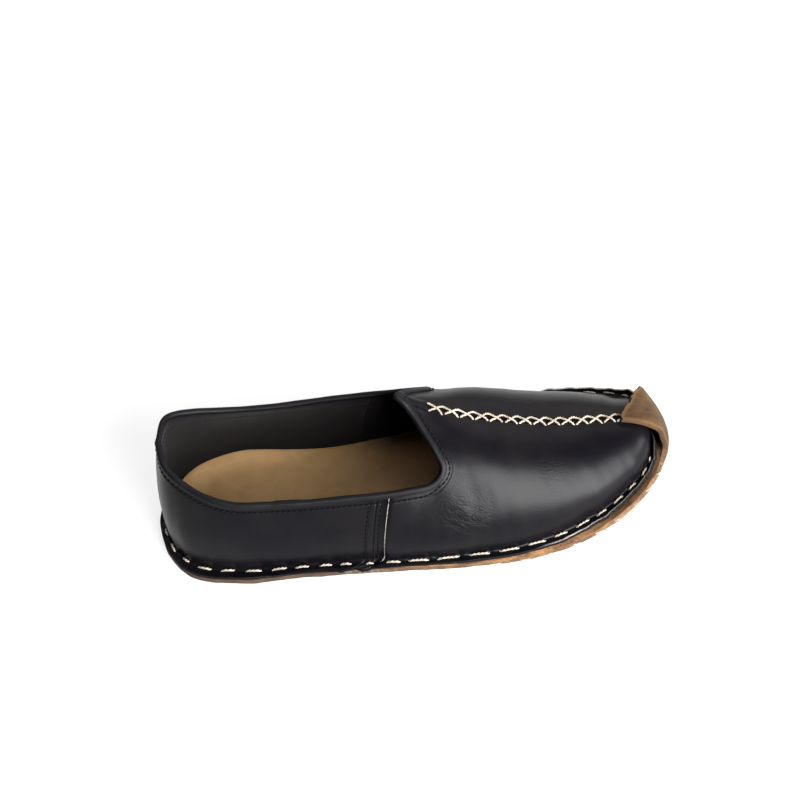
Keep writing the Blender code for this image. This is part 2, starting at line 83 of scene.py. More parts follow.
# Outer edge of the sole: distance from the heel, and where the outer and inner sides lie
HEEL_BACK = (1.2, 3.5)
TOE_FRONT = (281.8, 12.5)
LIP_TABLE = (
    (6.0, -20.2, 23.5),
    (18.0, -34.0, 38.0),
    (40.0, -40.5, 45.5),
    (77.0, -42.9, 42.5),
    (114.0, -47.1, 41.5),
    (148.0, -49.8, 46.5),
    (182.0, -51.7, 54.0),
    (217.0, -48.3, 57.0),
    (248.0, -37.4, 50.1),
    (264.0, -27.0, 42.6),
    (274.0, -17.4, 37.6),
    (279.0, -7.0, 28.5),
)

# By distance from the heel: how far the sole shows beyond the flange, and the flange's width
FLANGE_TABLE = (
    (0.0, 0.3, 3.4),
    (20.0, 0.3, 5.6),
    (45.0, 0.3, 5.1),
    (75.0, 0.0, 4.4),
    (95.0, -0.3, 4.8),
    (118.0, -0.3, 4.2),
    (145.0, 0.5, 3.8),
    (170.0, 1.2, 4.0),
    (190.0, 1.8, 4.2),
    (210.0, 2.8, 4.7),
    (230.0, 3.8, 4.7),
    (255.0, 4.7, 4.2),
    (268.0, 5.0, 3.6),
    (285.0, 5.6, 3.2),
)

# Round the inner side of the toe the flange is wider and reaches almost to the sole's edge.
# Each pair is where that starts and how far it takes to be whole, round the edge or from the heel
INNER_TOE_MARGIN, INNER_TOE_WIDER, INNER_TIP_WIDER = 0.3, 0.9, 1.6
INNER_TOE_ARC, INNER_TOE_ALONG, INNER_TIP_ALONG = (13.0, 13.0), (205.0, 28.0), (260.0, 8.0)

# Droop of the flange's free edge over the waist, by distance from the heel
DROOP_TABLE = (
    (50.0, 0.0),
    (90.0, 0.9),
    (120.0, 0.9),
    (155.0, 0.0),
)

# The flange's hand-cut edge: waves round the shoe and their size, how far it curls up from back to front,
# and how far the stitches pull it in and up, less at the back
FLANGE_WAVES, FLANGE_WAVER, FLANGE_GATHER = (23, 41, 67), 0.2, 1.4
CURL_WAVES, CURL_WAVER = (17, 31, 53), 0.12
CURL_LEAST, CURL_MORE, CURL_ALONG = 0.2, 0.6, (205.0, 50.0)
PULL_IN, PULL_UP = 0.22, 0.12
PULL_LEAST, PULL_MORE, PULL_ALONG = 0.25, 0.75, (175.0, 50.0)

# Ridge of the last: distance from the heel, side offset, height and fullness of the section
CROWN_TABLE = (
    (129.8, 5.0, 80.0, 1.20),
    (138.0, 4.0, 74.5, 1.15),
    (146.0, 3.0, 69.7, 1.10),
    (160.0, 2.5, 62.3, 1.02),
    (180.0, 2.5, 54.0, 0.97),
    (200.0, 2.5, 47.2, 0.93),
    (220.0, 2.8, 41.8, 0.90),
    (240.0, 3.2, 38.7, 0.86),
    (254.0, 3.8, 36.2, 0.82),
    (263.0, 5.0, 33.2, 0.78),
)

# The inner side falls away flatter towards the toe: distance from the heel, and how much less full it is.
# Round the edge that starts at an arc from the toe's front, and takes a run to be whole
INNER_FULLNESS = (
    (185.0, 1.10),
    (195.0, 1.20),
    (205.0, 1.33),
    (215.0, 1.45),
    (230.0, 1.75),
    (245.0, 1.85),
    (256.0, 2.20),
    (266.0, 2.50),
)
INNER_FULLNESS_ARC = (4.0, 24.0)

# Top edge of the upper on each side, from the back of the heel to the peak of the throat
TOP_EDGE = {
    "outer": (
        (11.2, 4.0, 68.5),
        (14.5, -11.0, 67.0),
        (26.5, -22.5, 61.0),
        (40.0, -29.0, 56.4),
        (66.0, -31.2, 52.5),
        (100.0, -32.0, 50.4),
        (128.0, -32.0, 50.0),
        (143.5, -30.0, 51.0),
        (147.8, -26.6, 55.0),
        (145.2, -18.2, 62.2),
        (140.8, -9.2, 67.6),
        (136.3, -1.6, 73.2),
        (129.8, 5.0, 80.0),
    ),
    "inner": (
        (11.2, 4.0, 68.5),
        (15.5, 22.0, 66.0),
        (28.0, 28.5, 60.4),
        (41.0, 30.8, 56.2),
        (66.0, 32.0, 52.6),
        (100.0, 33.2, 51.6),
        (130.0, 33.4, 50.4),
        (146.0, 32.5, 50.8),
        (150.4, 29.0, 54.4),
        (147.6, 23.2, 60.6),
        (141.2, 17.6, 67.4),
        (134.6, 11.6, 74.6),
        (129.8, 5.0, 80.0),
    ),
}

# The throat's corner: its row in those tables, where its column stands on the sole's edge, and its easing
CORNER_ROW = 8
CORNER_ALONG = {"outer": 148.0, "inner": 150.0}
CORNER_EASE_COLUMNS, CORNER_EASE, CORNER_EASE_TIMES = 9.0, 0.5, 40

# Side seams, where the vamp laps over the quarter: place, step, width, and how far back the step fades.
# The seam's foot runs back along the flange, and the step ends below the binding
SEAM_ALONG = {"outer": 115.8, "inner": 115.0}
SEAM_STEP, SEAM_WIDTH, SEAM_FADE = 0.75, 0.3, 28.0
SEAM_CURL, SEAM_CURL_ARC = 12.0, (3.0, 27.0)
SEAM_FLANGE_SHARE, SEAM_TOP_ROWS = 0.4, 4
SHOULDER_ANGLE = math.radians(50.0)
QUARTER_BULGE, QUARTER_GATHER = 0.35, 1.35
THROAT_FADE = 22.0

# Binding folded over the top edge: how far it stands proud and reaches down, the joint where its ends lap,
# and its section on either face as shares of the reach and of the standing proud
BINDING_PROUD, BINDING_LEG = 0.95, 2.4
BINDING_JOINT = (66.0, -31.2, 52.5)
BINDING_LAP, BINDING_LAP_ARC, BINDING_LAP_END = 0.45, (-14.0, 6.0), 0.2
BINDING_OUTSIDE = ((1.0, -0.15), (0.99, 0.35), (0.9, 0.72), (0.6, 0.92), (0.25, 1.0))
BINDING_INSIDE = ((0.25, 1.0), (0.6, 0.9), (0.9, 0.7), (0.99, 0.35), (1.0, -0.15))
BINDING_ROUND, BINDING_CROWN = 11, 1.15

# Toe tab, the sole's front end folded up and back: its middle line, outer and inner half widths, skew and bow
TAB_TABLE = (
    (283.8, 13.4, 20.5, 21.4, 18.0, -0.5, 4.0),
    (281.0, 13.5, 25.7, 19.0, 18.4, 0.2, 3.2),
    (277.0, 12.8, 30.4, 15.8, 17.8, -0.2, 1.4),
    (269.0, 9.8, 35.0, 10.8, 12.6, -1.0, 1.0),
    (261.0, 6.3, 37.8, 5.6, 6.6, 0.0, 0.5),
    (253.6, 3.6, 38.7, 1.5, 1.5, 0.0, 0.0),
)

# Where the tab's root lies across the toe, how far its bow lowers its sides, and how far up its leather thins
TAB_MIDDLE, TAB_SPAN = 13.4, {"outer": 22.5, "inner": 18.0}
TAB_BOW_DROP, TAB_THIN_RUN = 0.25, 12.0

# Beside the tab the sole's edge is pulled up, and flares into the tab's sides
FOLD_RISE = {"outer": 2.6, "inner": 0.8}
FOLD_SPREAD, FOLD_REACH = 15.0, 18.0
TAB_BLEND = 14.0
FLARE_RISE, FLARE_LEAST, FLARE_RUN, FLARE_LEAN, FLARE_ROWS = 4.0, 0.4, 5.0, 0.3, 8
TAB_EASE, EASE_SHARE, EASE_LEAST, EASE_TIMES = 7.0, 0.6, 0.02, 30

# Torn fibres on the inner side of the tab's edge: length, depth into the leather and direction in plan,
# from where across and how far up the tab, and how fine and coarse
FRAY, FRAY_REACH, FRAY_WAY = 1.0, 0.8, (-0.7, 0.7)
FRAY_SIDE, FRAY_SHARE, FRAY_SIZES = (4.0, 6.0), 0.6, (1.6, 4.0)

# Counts of columns round the shoe, of rows up it and of points along its curves, and how they gather
QUARTER_COLUMNS = 96
VAMP_COLUMNS = 116
COLUMN_GATHER = 0.55
FLANGE_ROWS = 8
CREASE_ROWS = 6
WALL_ROWS = 30
VAMP_ROWS = 54
SOLE_COLUMNS = 400
TAB_ROWS = 56
TAB_POINTS, EDGE_POINTS = 600, 400
TOE_GATHER = 1.25

# Rings of the sole and insole inward from their edges, the ring from which the fold leaves the sole flat,
# shares of the way from the last ring to the middle line, that line's ends, and the sole's hand-cut edge
SOLE_RINGS = (0.0, 0.6, 1.4, 2.6, 4.2, 6.4, 9.0, 12.0, 15.0)
INSOLE_RINGS = (0.0, 0.6, 1.6, 3.0, 5.0, 7.5, 10.5, 14.0)
FOLD_RING = 5
PLATE_SHARES = (0.25, 0.5, 0.75, 1.0)
PLATE_MIDDLE = (34.0, 248.0)
SOLE_WAVES, SOLE_WAVER = (19, 37, 61, 97), 0.2

# Running stitch on the outer side, from the toe to the heel: where each starts round the edge, and its length
OUTER_STITCHES = (
    (26.3, 3.6),
    (35.1, 6.6),
    (47.2, 6.1),
    (58.5, 7.7),
    (71.6, 7.2),
    (83.4, 9.2),
    (98.1, 8.3),
    (111.5, 10.7),
    (127.0, 11.5),
    (143.4, 11.5),
    (159.5, 12.5),
    (175.9, 11.0),
    (190.8, 7.6),
    (205.1, 3.8),
    (216.6, 5.7),
    (226.6, 6.3),
    (238.4, 6.8),
    (249.5, 8.1),
    (262.5, 9.2),
    (277.1, 7.2),
    (289.8, 9.0),
    (305.2, 5.0),
    (316.5, 6.1),
    (328.7, 4.8),
)

# Running stitch on the inner side, by distance from the heel: length of a stitch, and of the gap after it
STITCH_TABLE = (
    (0.0, 6.5, 5.4),
    (40.0, 9.4, 4.6),
    (120.0, 8.2, 3.8),
    (165.0, 12.6, 3.4),
    (212.0, 9.6, 4.4),
    (278.0, 5.4, 4.6),
)
STITCH_END = 17.5
STITCH_INSET, INNER_TOE_INSET = 1.0, 1.3
UNEVEN_GAP, UNEVEN_LENGTH, UNEVEN_INSET, UNEVEN_TILT = 0.1, 0.05, 0.35, 0.25
STITCH_POINTS, STITCH_PROUD, STITCH_UNEVEN, STITCH_DIP = 13, 0.42, 0.08, 0.9

# Lower side of that stitch, on the sole's edge round the front: half length, inset and the inset that
# hides it, height above the sole's lower face, and share of the thread's thickness
LOWER_HALF, LOWER_LONGER = 3.0, 1.4
LOWER_INSET, LOWER_DEEPER, LOWER_ALONG, LOWER_HIDDEN = 0.1, 2.4, (120.0, 60.0), 1.0
LOWER_POINTS, LOWER_PROUD, LOWER_DIP, LOWER_HEIGHT, LOWER_THREAD = 11, 0.3, 0.8, 0.75, 0.55

# Fine rows: depth below the top edge, places behind a side seam, depth on the lining, and stitch, gap and dip
COLLAR_ROW, SEAM_ROWS, LINING_ROW = 4.9, (3.4, 6.4, 9.6), 9.5
FINE_STITCH, LINING_STITCH = (2.0, 0.7, 0.4), (2.2, 0.9, -0.35)
FINE_PROUD, LINING_PROUD, FINE_POINTS = 0.35, 0.3, 5

# Centre lacing: one thread up through a crossing, over in a round arch, and down through the next crossing.
# Shares of a pitch along the seam, and how far towards the inner side of it.
# The seam lies a little to the inner side of the ridge, more so towards the toe
CROSS_FIRST, CROSS_PITCH, CROSS_COUNT, CROSS_SIDE = 149.4, 8.15, 14, (0.1, 2.1)
CROSS_ARCH = (
    (-0.42, -2.4),
    (-0.2, -1.2),
    (0.0, 0.0),
    (0.25, 1.6),
    (0.5, 2.3),
    (0.75, 1.6),
    (1.0, 0.0),
    (1.22, -1.4),
    (1.42, -2.6),
)
CROSS_POINTS, CROSS_UNEVEN, CROSS_LOOSE = 41, 0.35, 4
CROSS_OVER, CROSS_OVER_WIDTH, CROSS_PROUD, CROSS_DIP = 0.75, 0.2, 0.5, 0.7
CROSS_CURVE, CROSS_START = 0.02, 0.55

# Soft creases pressed into the outer face: (along, height) points, half width and depth (a ridge if below 0)
CREASES = {
    "outer": (
        (((149.0, 46.0), (158.0, 37.0), (167.0, 28.0), (177.0, 20.0)), 6.0, -0.4),
        (((149.0, 40.0), (156.0, 35.0), (163.0, 31.0)), 1.3, 0.09),
        (((150.0, 36.0), (158.0, 31.0), (166.0, 27.0)), 1.4, 0.09),
        (((148.0, 33.0), (155.0, 28.5), (163.0, 24.5)), 1.4, 0.08),
        (((154.0, 42.0), (162.0, 36.5), (170.0, 33.0)), 1.4, 0.08),
        (((196.0, 41.0), (204.0, 37.0), (212.0, 33.5)), 1.8, 0.04),
        (((202.0, 41.5), (210.0, 37.5), (217.0, 34.0)), 1.8, 0.04),
    ),
    "inner": (
        (((151.0, 40.0), (158.0, 35.0), (166.0, 31.0)), 1.4, 0.14),
        (((152.0, 36.0), (160.0, 31.0), (168.0, 27.0)), 1.4, 0.14),
        (((156.0, 42.0), (164.0, 37.0), (172.0, 33.0)), 1.4, 0.12),
        (((198.0, 40.0), (206.0, 36.0), (214.0, 32.5)), 1.8, 0.10),
    ),
}

# Beside a crease the leather rises: share of the depth, place in half widths, and spread.
# Creases fade at their ends, and lie ahead of the collar
CREASE_LIP, CREASE_LIP_AT, CREASE_LIP_SPREAD, CREASE_ENDS, CREASE_POINTS = 0.45, 1.9, 0.8, 0.7, 24
CREASE_FROM = 135.0

# Patches of fine wrinkles: along, height, reach and strength
CREASE_ZONES = ((159.0, 33.0, 12.5, 0.8), (206.0, 38.0, 13.0, 0.28))

# Other low relief of the upper: soft swells by depth and size, the centre seam's groove and the rise beside
# it, and thread holes
SWELLS = ((0.18, 46.0), (0.08, 17.0))
SWELL_TOP, SWELL_FOOT = (3.0, 8.0), (7.0, 8.0)
RIDGE_SIDE, RIDGE_FROM, RIDGE_SPAN, RIDGE_POINTS = 3.0, 128.0, (130.0, 262.0), 160
GROOVE_DEPTH, GROOVE_WIDTH = 0.35, 0.9
RISE_HEIGHT, RISE_AT, RISE_WIDTH = 0.22, 2.6, 1.5
HOLE_DEPTH, HOLE_WIDTH = 0.4, 1.3

# Swells of the sole and insole by depth and size, the calm near the insole's edge, and their rounded edges
SOLE_SWELL, INSOLE_SWELL, INSOLE_CALM = (0.18, 21.0), (0.3, 38.0), (1.0, 8.0)
EDGE_ROUND, EDGE_ANGLE = 0.5, math.radians(55.0)

# A place in the middle of the sole, and a distance that counts as nowhere near
SOLE_CENTRE, FAR = (100.0, 0.0, 2.0), 99.0

# Thread: how wide the plies of a twisted one spread, and the gloss of waxed and of dull thread
PLY_SPREAD = 0.55
WAXED, DULL = 0.35, 0.05

# Studio: floor in metres, and each softbox's setting, aim, direction, distance, size and colour
FLOOR_SIZE, FLOOR_CELLS, FLOOR_DROP, FLOOR_GLOW = 4.0, 8, 0.0002, 0.72
FLOOR_GREYS = ((0.235, 0.235, 0.235), (0.245, 0.245, 0.245))
WHITE, WARM = (1.0, 1.0, 1.0), (1.0, 0.93, 0.88)
SOFTBOXES = (
    ("key", (0.03, 0.0, 0.04), (0.59, -0.77, 0.33), 1.5, (1.3, 1.4), WHITE),
    ("toe", (0.12, 0.0, 0.03), (0.95, -0.12, 0.32), 1.2, (0.5, 0.35), WHITE),
    ("back", (0.03, 0.0, 0.04), (0.5, 0.7, 0.48), 1.4, (1.2, 0.9), WARM),
    ("overhead", (0.0, 0.0, 0.04), (-0.05, 0.5, 1.0), 1.6, (1.8, 1.8), WHITE),
)

# Camera at the photograph's angle: heading, height angle and roll in degrees, distance, aim and lens
CAMERA_HEADING, CAMERA_HEIGHT, CAMERA_ROLL = 9.972, 49.246, -0.385
CAMERA_DISTANCE = 534.689
CAMERA_AIM = (139.174, 54.552, 20.0)
CAMERA_LENS, CAMERA_SENSOR, CAMERA_CLIP = 41.87, 36.0, (0.01, 20.0)


def ramp(value, start, run):
    """0 before start, 1 after start + run, and straight between."""
    return np.clip((np.asarray(value, float) - start) / run, 0.0, 1.0)


def smooth_ramp(value, start, run):
    t = ramp(value, start, run)
    return t * t * (3.0 - 2.0 * t)


def spline(knots, rows, at):
    """Smooth curve through the rows of a table, each at its knot, read at the given places."""
    knots, rows, at = np.asarray(knots, float), np.asarray(rows, float), np.asarray(at, float)
    slopes = np.gradient(rows, knots, axis=0)
    i = np.clip(np.searchsorted(knots, at) - 1, 0, len(knots) - 2)
    span = knots[i + 1] - knots[i]
    t = ((at - knots[i]) / span)[:, None]
    span = span[:, None]
    start = rows[i] * (1 + 2 * t) * (1 - t) ** 2 + slopes[i] * span * t * (1 - t) ** 2
    end = rows[i + 1] * t * t * (3 - 2 * t) + slopes[i + 1] * span * t * t * (t - 1)
    return start + end


def chord_lengths(points):
    steps = np.linalg.norm(np.diff(points, axis=0), axis=1)
    return np.concatenate([[0.0], np.cumsum(steps)])


def along_path(path, arcs, at):
    return np.stack([np.interp(at, arcs, column) for column in np.asarray(path).T], axis=-1)


def even_path(points, count):
    """Points spread evenly along a line of points."""
    arcs = chord_lengths(points)
    return along_path(points, arcs, np.linspace(0.0, arcs[-1], count))


def smooth_path(points, count):
    """Points spread evenly along a smooth curve through the given ones."""
    points = np.asarray(points, float)
    knots = chord_lengths(points)
    return even_path(spline(knots, points, np.linspace(0.0, knots[-1], 40 * len(points))), count)


def unit(vectors):
    return vectors / np.maximum(np.linalg.norm(vectors, axis=-1, keepdims=True), 1e-9)


def table_at(table, along):
    """Every later column of a table, read at a distance from the heel."""
    table = np.array(table)
    return [np.interp(along, table[:, 0], column) for column in table[:, 1:].T]


def crown_at(along):
    """Side offset, height and fullness of the ridge."""
    table = np.array(CROWN_TABLE)
    return spline(table[:, 0], table[:, 1:], np.atleast_1d(along))


def cross_side(along):
    """How far the centre seam lies to the inner side of the ridge."""
    last = CROSS_FIRST + CROSS_PITCH * CROSS_COUNT
    return np.interp(along, (CROSS_FIRST, last), CROSS_SIDE)


def sole_bottom(along, from_edge, arcs=None):
    """Height of the sole's lower face: flat, with arch, toe spring and a cupped edge round the toe."""
    spring = SPRING_RISE * ramp(along, SPRING_START, SPRING_RUN) ** 2
    arch = ARCH_RISE * np.sin(math.pi * ramp(along, ARCH_FROM, ARCH_TO - ARCH_FROM)) ** 2
    near_edge = np.clip(1.0 - np.asarray(from_edge, float) / CUP_REACH, 0.0, 1.0) ** 2
    height = spring + arch + CUP_RISE * smooth_ramp(along, CUP_START, CUP_RUN) * near_edge
    return height if arcs is None else height + fold_rise(arcs, from_edge)


class Outline:
    """Outer edge of the sole as a closed path from the toe along the outer side, round the heel and back."""

    samples, toe_samples, reach = 2400, 500, 0.8

    def __init__(self):
        outer = [(along, side) for along, side, _ in reversed(LIP_TABLE)]
        inner = [(along, side) for along, _, side in LIP_TABLE]
        ring = [TOE_FRONT, *outer, HEEL_BACK, *inner]
        wrapped = ring[-3:] + ring + ring[:4]
        knots = chord_lengths(np.array(wrapped))
        first, last = knots[3], knots[3 + len(ring)]
        self.path = spline(knots, wrapped, np.linspace(first, last, self.samples))
        self.arcs = chord_lengths(self.path)
        self.whole = self.arcs[-1]
        self.heel = self.arcs[np.argmin(self.path[:, 0])]

    def point(self, at):
        return along_path(self.path, self.arcs, np.asarray(at, float) % self.whole)

    def outward(self, at):
        tangent = unit(self.point(np.asarray(at) + self.reach) - self.point(np.asarray(at) - self.reach))
        return np.stack([-tangent[..., 1], tangent[..., 0]], axis=-1)

    def inset(self, at, distance):
        return self.point(at) - self.outward(at) * np.asarray(distance, float)[..., None]

    def half(self, side):
        return self.arcs <= self.heel if side == "outer" else self.arcs >= self.heel

    def arc_at(self, along, side):
        """Arc where the outer or inner half of the path passes a distance from the heel."""
        half = self.half(side)
        return self.arcs[half][np.argmin(np.abs(self.path[half, 0] - along))]

    def toe_arc(self, side_offset):
        """Arc round the toe, negative on the inner side, where the path passes a side offset."""
        count, offsets = self.toe_samples, self.path[:, 1]
        arcs = np.concatenate([self.arcs[-count:] - self.whole, self.arcs[:count]])
        offsets = np.concatenate([offsets[-count:], offsets[:count]])
        return np.interp(side_offset, offsets[::-1], arcs[::-1])

    def waver(self, at, waves, size):
        """Small unevenness of a hand-cut edge that closes on itself round the shoe."""
        turn = 2 * math.pi * np.asarray(at, float) / self.whole
        return size * sum(np.sin(turn * count + 1.7 * count) / (k + 1.5) for k, count in enumerate(waves))


OUTLINE = Outline()
TAB_ROOT = {
    "outer": OUTLINE.toe_arc(TAB_MIDDLE - TAB_SPAN["outer"]),
    "inner": OUTLINE.toe_arc(TAB_MIDDLE + TAB_SPAN["inner"]),
}


def signed_arc(arcs):
    """Arc from the toe's front, negative on the inner side."""
    arcs = np.asarray(arcs, float)
    return np.where(arcs > OUTLINE.whole / 2, arcs - OUTLINE.whole, arcs)


def inner_toe(arcs, along):
    """1 round the inner side of the toe, and 0 elsewhere."""
    return smooth_ramp(-signed_arc(arcs), *INNER_TOE_ARC) * smooth_ramp(along, *INNER_TOE_ALONG)


def flange_at(arcs):
    """How far the sole shows beyond the flange, and the flange's width, at places round the edge."""
    along = OUTLINE.point(arcs)[..., 0]
    margin, flange = table_at(FLANGE_TABLE, along)
    inner = inner_toe(arcs, along)
    wider = INNER_TOE_WIDER + INNER_TIP_WIDER * smooth_ramp(along, *INNER_TIP_ALONG)
    return margin + (INNER_TOE_MARGIN - margin) * inner, flange + wider * inner


def fullness_at(arcs):
    """How much less full the vamp's sections are than the ridge's table says, by place round the edge."""
    flatter = table_at(INNER_FULLNESS, OUTLINE.point(arcs)[..., 0])[0] - 1.0
    return 1.0 + flatter * smooth_ramp(-signed_arc(arcs), *INNER_FULLNESS_ARC)


def fold_rise(arcs, from_edge):
    """Extra height of the sole's edge where the folded tab pulls it up."""
    at = signed_arc(arcs)
    share = np.clip((TAB_ROOT["outer"] - at) / (TAB_ROOT["outer"] - TAB_ROOT["inner"]), 0.0, 1.0)
    away = {"outer": at - TAB_ROOT["outer"], "inner": TAB_ROOT["inner"] - at}
    rise = 0.0
    for side, weight in zip(SIDES, (1.0 - share, share)):
        near = np.exp(-((np.clip(away[side], 0.0, None) / FOLD_SPREAD) ** 2))
        rise = rise + weight * FOLD_RISE[side] * near
    return rise * np.clip(1.0 - np.asarray(from_edge, float) / FOLD_REACH, 0.0, 1.0) ** 1.5


def spaced(start, end, count):
    """Places from start to end that gather at both."""
    t = np.linspace(0.0, 1.0, count + 1)
    return start + (end - start) * (t - COLUMN_GATHER * np.sin(2 * math.pi * t) / (2 * math.pi))


class Last:
    """Outer face of the upper: columns round the shoe, rows from the flange's edge to the top edge or ridge.

    The wall's rows run from the foot to the shoulder, and those of the vamp's top from there to the ridge.
    """

    def __init__(self):
        self.corner = {side: OUTLINE.arc_at(CORNER_ALONG[side], side) for side in SIDES}
        self.seam = {side: OUTLINE.arc_at(SEAM_ALONG[side], side) for side in SIDES}
        self.toe = {"outer": 0.0, "inner": OUTLINE.whole}
        self.foot_rows = FLANGE_ROWS + CREASE_ROWS + 1
        self.shoulder = self.foot_rows + WALL_ROWS - 2
        self.ridge = self.shoulder + VAMP_ROWS
        self.seam_column = {}
        self.quarter, self.vamp = {}, {}
        for side in SIDES:
            topline, throat = self.edges(side)
            self.quarter[side] = self.make_quarter(side, topline)
            self.vamp[side] = self.make_vamp(side, throat)
            self.ease_corner(side)

    def edges(self, side):
        """Paths from the throat's corner to the heel, and from the corner to the peak."""
        points = np.array(TOP_EDGE[side])
        knots = chord_lengths(points)
        corner = knots[CORNER_ROW]
        topline = spline(knots, points, np.linspace(corner, 0.0, EDGE_POINTS))
        throat = spline(knots, points, np.linspace(corner, knots[-1], EDGE_POINTS))
        return even_path(topline, EDGE_POINTS), even_path(throat, VAMP_ROWS + 1)

    def foot(self, arcs):
        """Rows of the flange and of the crease where it turns up, to the point where the wall starts."""
        edge = OUTLINE.point(arcs)
        margin, flange = flange_at(arcs)
        along = edge[:, 0]
        pull = scallop(arcs) * (PULL_LEAST + PULL_MORE * smooth_ramp(along, *PULL_ALONG))
        margin = margin + OUTLINE.waver(arcs, FLANGE_WAVES, FLANGE_WAVER) - PULL_IN * pull
        flange = flange + PULL_IN * pull
        flat = flange - CREASE_RADIUS
        curl = CURL_LEAST + CURL_MORE * smooth_ramp(along, *CURL_ALONG)
        curl = curl + OUTLINE.waver(arcs, CURL_WAVES, CURL_WAVER)
        curl = curl + PULL_UP * pull - table_at(DROOP_TABLE, along)[0]
        runs = []
        for share in np.linspace(0.0, 1.0, FLANGE_ROWS) ** FLANGE_GATHER:
            runs.append((flat * share, curl * (1.0 - share) ** 2))
        for turn in np.linspace(0.0, math.pi / 2, CREASE_ROWS + 1)[1:]:
            lift = CREASE_RADIUS * (1.0 - math.cos(turn))
            runs.append((flat + CREASE_RADIUS * math.sin(turn), lift))
        runs.append((flange, WALL_START - GAP - UPPER_THICK))
        rows = []
        for inward, lift in runs:
            plan = OUTLINE.inset(arcs, margin + inward)
            height = sole_bottom(along, margin + inward, arcs) + SOLE_THICK + GAP + UPPER_THICK + lift
            rows.append(np.column_stack([plan, height]))
        return rows

    def quarter_arcs(self, side):
        """Arcs of the quarter's columns from the corner to the heel, two of them close together at the seam.

        The seam's column is the last one before the step.
        """
        arcs = spaced(self.corner[side], OUTLINE.heel, QUARTER_COLUMNS)
        i = int(np.argmin(np.abs(arcs - self.seam[side])))
        step = math.copysign(SEAM_WIDTH / 2, arcs[-1] - arcs[0])
        arcs[i], arcs[i + 1] = self.seam[side] - step, self.seam[side] + step
        self.seam_column[side] = i
        return arcs

    def make_quarter(self, side, topline):
        arcs = self.quarter_arcs(side)
        share = (arcs - arcs[0]) / (arcs[-1] - arcs[0])
        top = along_path(topline, np.linspace(0.0, 1.0, len(topline)), share)
        rows = self.foot(arcs)
        start = rows[-1]
        for up in 1.0 - (1.0 - np.linspace(0.0, 1.0, WALL_ROWS)[1:]) ** QUARTER_GATHER:
            row = start + (top - start) * up
            lean = (1.0 + QUARTER_BULGE) * up**2 - QUARTER_BULGE * up
            row[:, :2] = start[:, :2] + (top[:, :2] - start[:, :2]) * lean
            rows.append(row)
        return self.step_seam(self.curl_seam(np.array(rows), arcs, side), arcs, side)

    def curl_seam(self, rows, arcs, side):
        """Lets the foot of the side seam run back along the flange towards the heel."""
        whole = 1.0 - smooth_ramp(np.abs(arcs - self.seam[side]), *SEAM_CURL_ARC)
        back = math.copysign(SEAM_CURL, arcs[-1] - arcs[0])
        foot = FLANGE_ROWS + CREASE_ROWS
        for row in range(foot):
            shift = back * (1.0 - row / foot) ** 2 * whole
            rows[row, :, :2] += OUTLINE.point(arcs + shift) - OUTLINE.point(arcs)
        return rows

    def step_seam(self, rows, arcs, side):
        """Sinks the quarter behind the side seam, where the vamp laps over it, up to below the binding."""
        behind = (arcs - self.seam[side]) * math.copysign(1.0, arcs[-1] - arcs[0])
        sink = np.where(behind > 0, SEAM_STEP * np.exp(-((behind / SEAM_FADE) ** 2)), 0.0)
        outward = OUTLINE.outward(arcs)
        for row in range(len(rows)):
            upright = float(smooth_ramp(row, FLANGE_ROWS - 1, CREASE_ROWS))
            hold = 1.0 - float(smooth_ramp(row, self.shoulder - SEAM_TOP_ROWS, SEAM_TOP_ROWS))
            rows[row, :, :2] -= outward * (sink * upright * hold)[:, None]
            rows[row, :, 2] -= sink * (1.0 - upright) * SEAM_FLANGE_SHARE
        return rows

    def vamp_arcs(self, side):
        return spaced(self.corner[side], self.toe[side], VAMP_COLUMNS)

    def ridge_points(self):
        """Points of the ridge, one for each pair of vamp columns, with the fullness there."""
        outer, inner = (OUTLINE.point(self.vamp_arcs(side))[:, 0] for side in SIDES)
        mean = (outer + inner) / 2
        share = (mean - mean[0]) / (mean[-1] - mean[0])
        along = CROWN_TABLE[0][0] + (CROWN_TABLE[-1][0] - CROWN_TABLE[0][0]) * share
        return np.column_stack([along, crown_at(along)])

    def make_vamp(self, side, throat):
        arcs = self.vamp_arcs(side)
        ridge = self.ridge_points()
        rows = self.foot(arcs)
        foot = rows[-1]
        hollow = fullness_at(arcs)
        low = np.linspace(0.0, SHOULDER_ANGLE, WALL_ROWS)[1:]
        high = np.linspace(SHOULDER_ANGLE, math.pi / 2, VAMP_ROWS + 1)[1:]
        for angle in (*low, *high):
            row = np.empty_like(foot)
            row[:, :2] = foot[:, :2] + (ridge[:, :2] - foot[:, :2]) * (1.0 - math.cos(angle))
            lift = math.sin(angle) ** (ridge[:, 3] * hollow)
            row[:, 2] = foot[:, 2] + (ridge[:, 2] - foot[:, 2]) * lift
            rows.append(row)
        rows = np.array(rows)
        column = np.concatenate([self.quarter[side][: self.shoulder, 0], throat])
        fade = np.exp(-(((arcs - arcs[0]) / THROAT_FADE) ** 2))
        rows += (column - rows[:, 0])[:, None, :] * fade[None, :, None]
        rows[self.ridge] = ridge[:, :3]
        return rows

    def ease_corner(self, side):
        """Smooths the wall below the throat's corner, where quarter and vamp run into each other."""
        quarter, vamp = self.quarter[side], self.vamp[side]
        band = slice(self.foot_rows - 1, self.shoulder)
        run = np.concatenate([quarter[band, ::-1], vamp[band, 1:]], axis=1)
        middle = quarter.shape[1] - 1
        away = (np.arange(run.shape[1]) - middle) / CORNER_EASE_COLUMNS
        weight = np.exp(-(away**2))[None, :, None] * CORNER_EASE
        weight[:, : middle - self.seam_column[side] + 2] = 0.0
        for _ in range(CORNER_EASE_TIMES):
            mean = run.copy()
            mean[:, 1:-1] = (run[:, :-2] + run[:, 2:]) / 2
            run += (mean - run) * weight
        quarter[band] = run[:, : middle + 1][:, ::-1]
        vamp[band] = run[:, middle:]

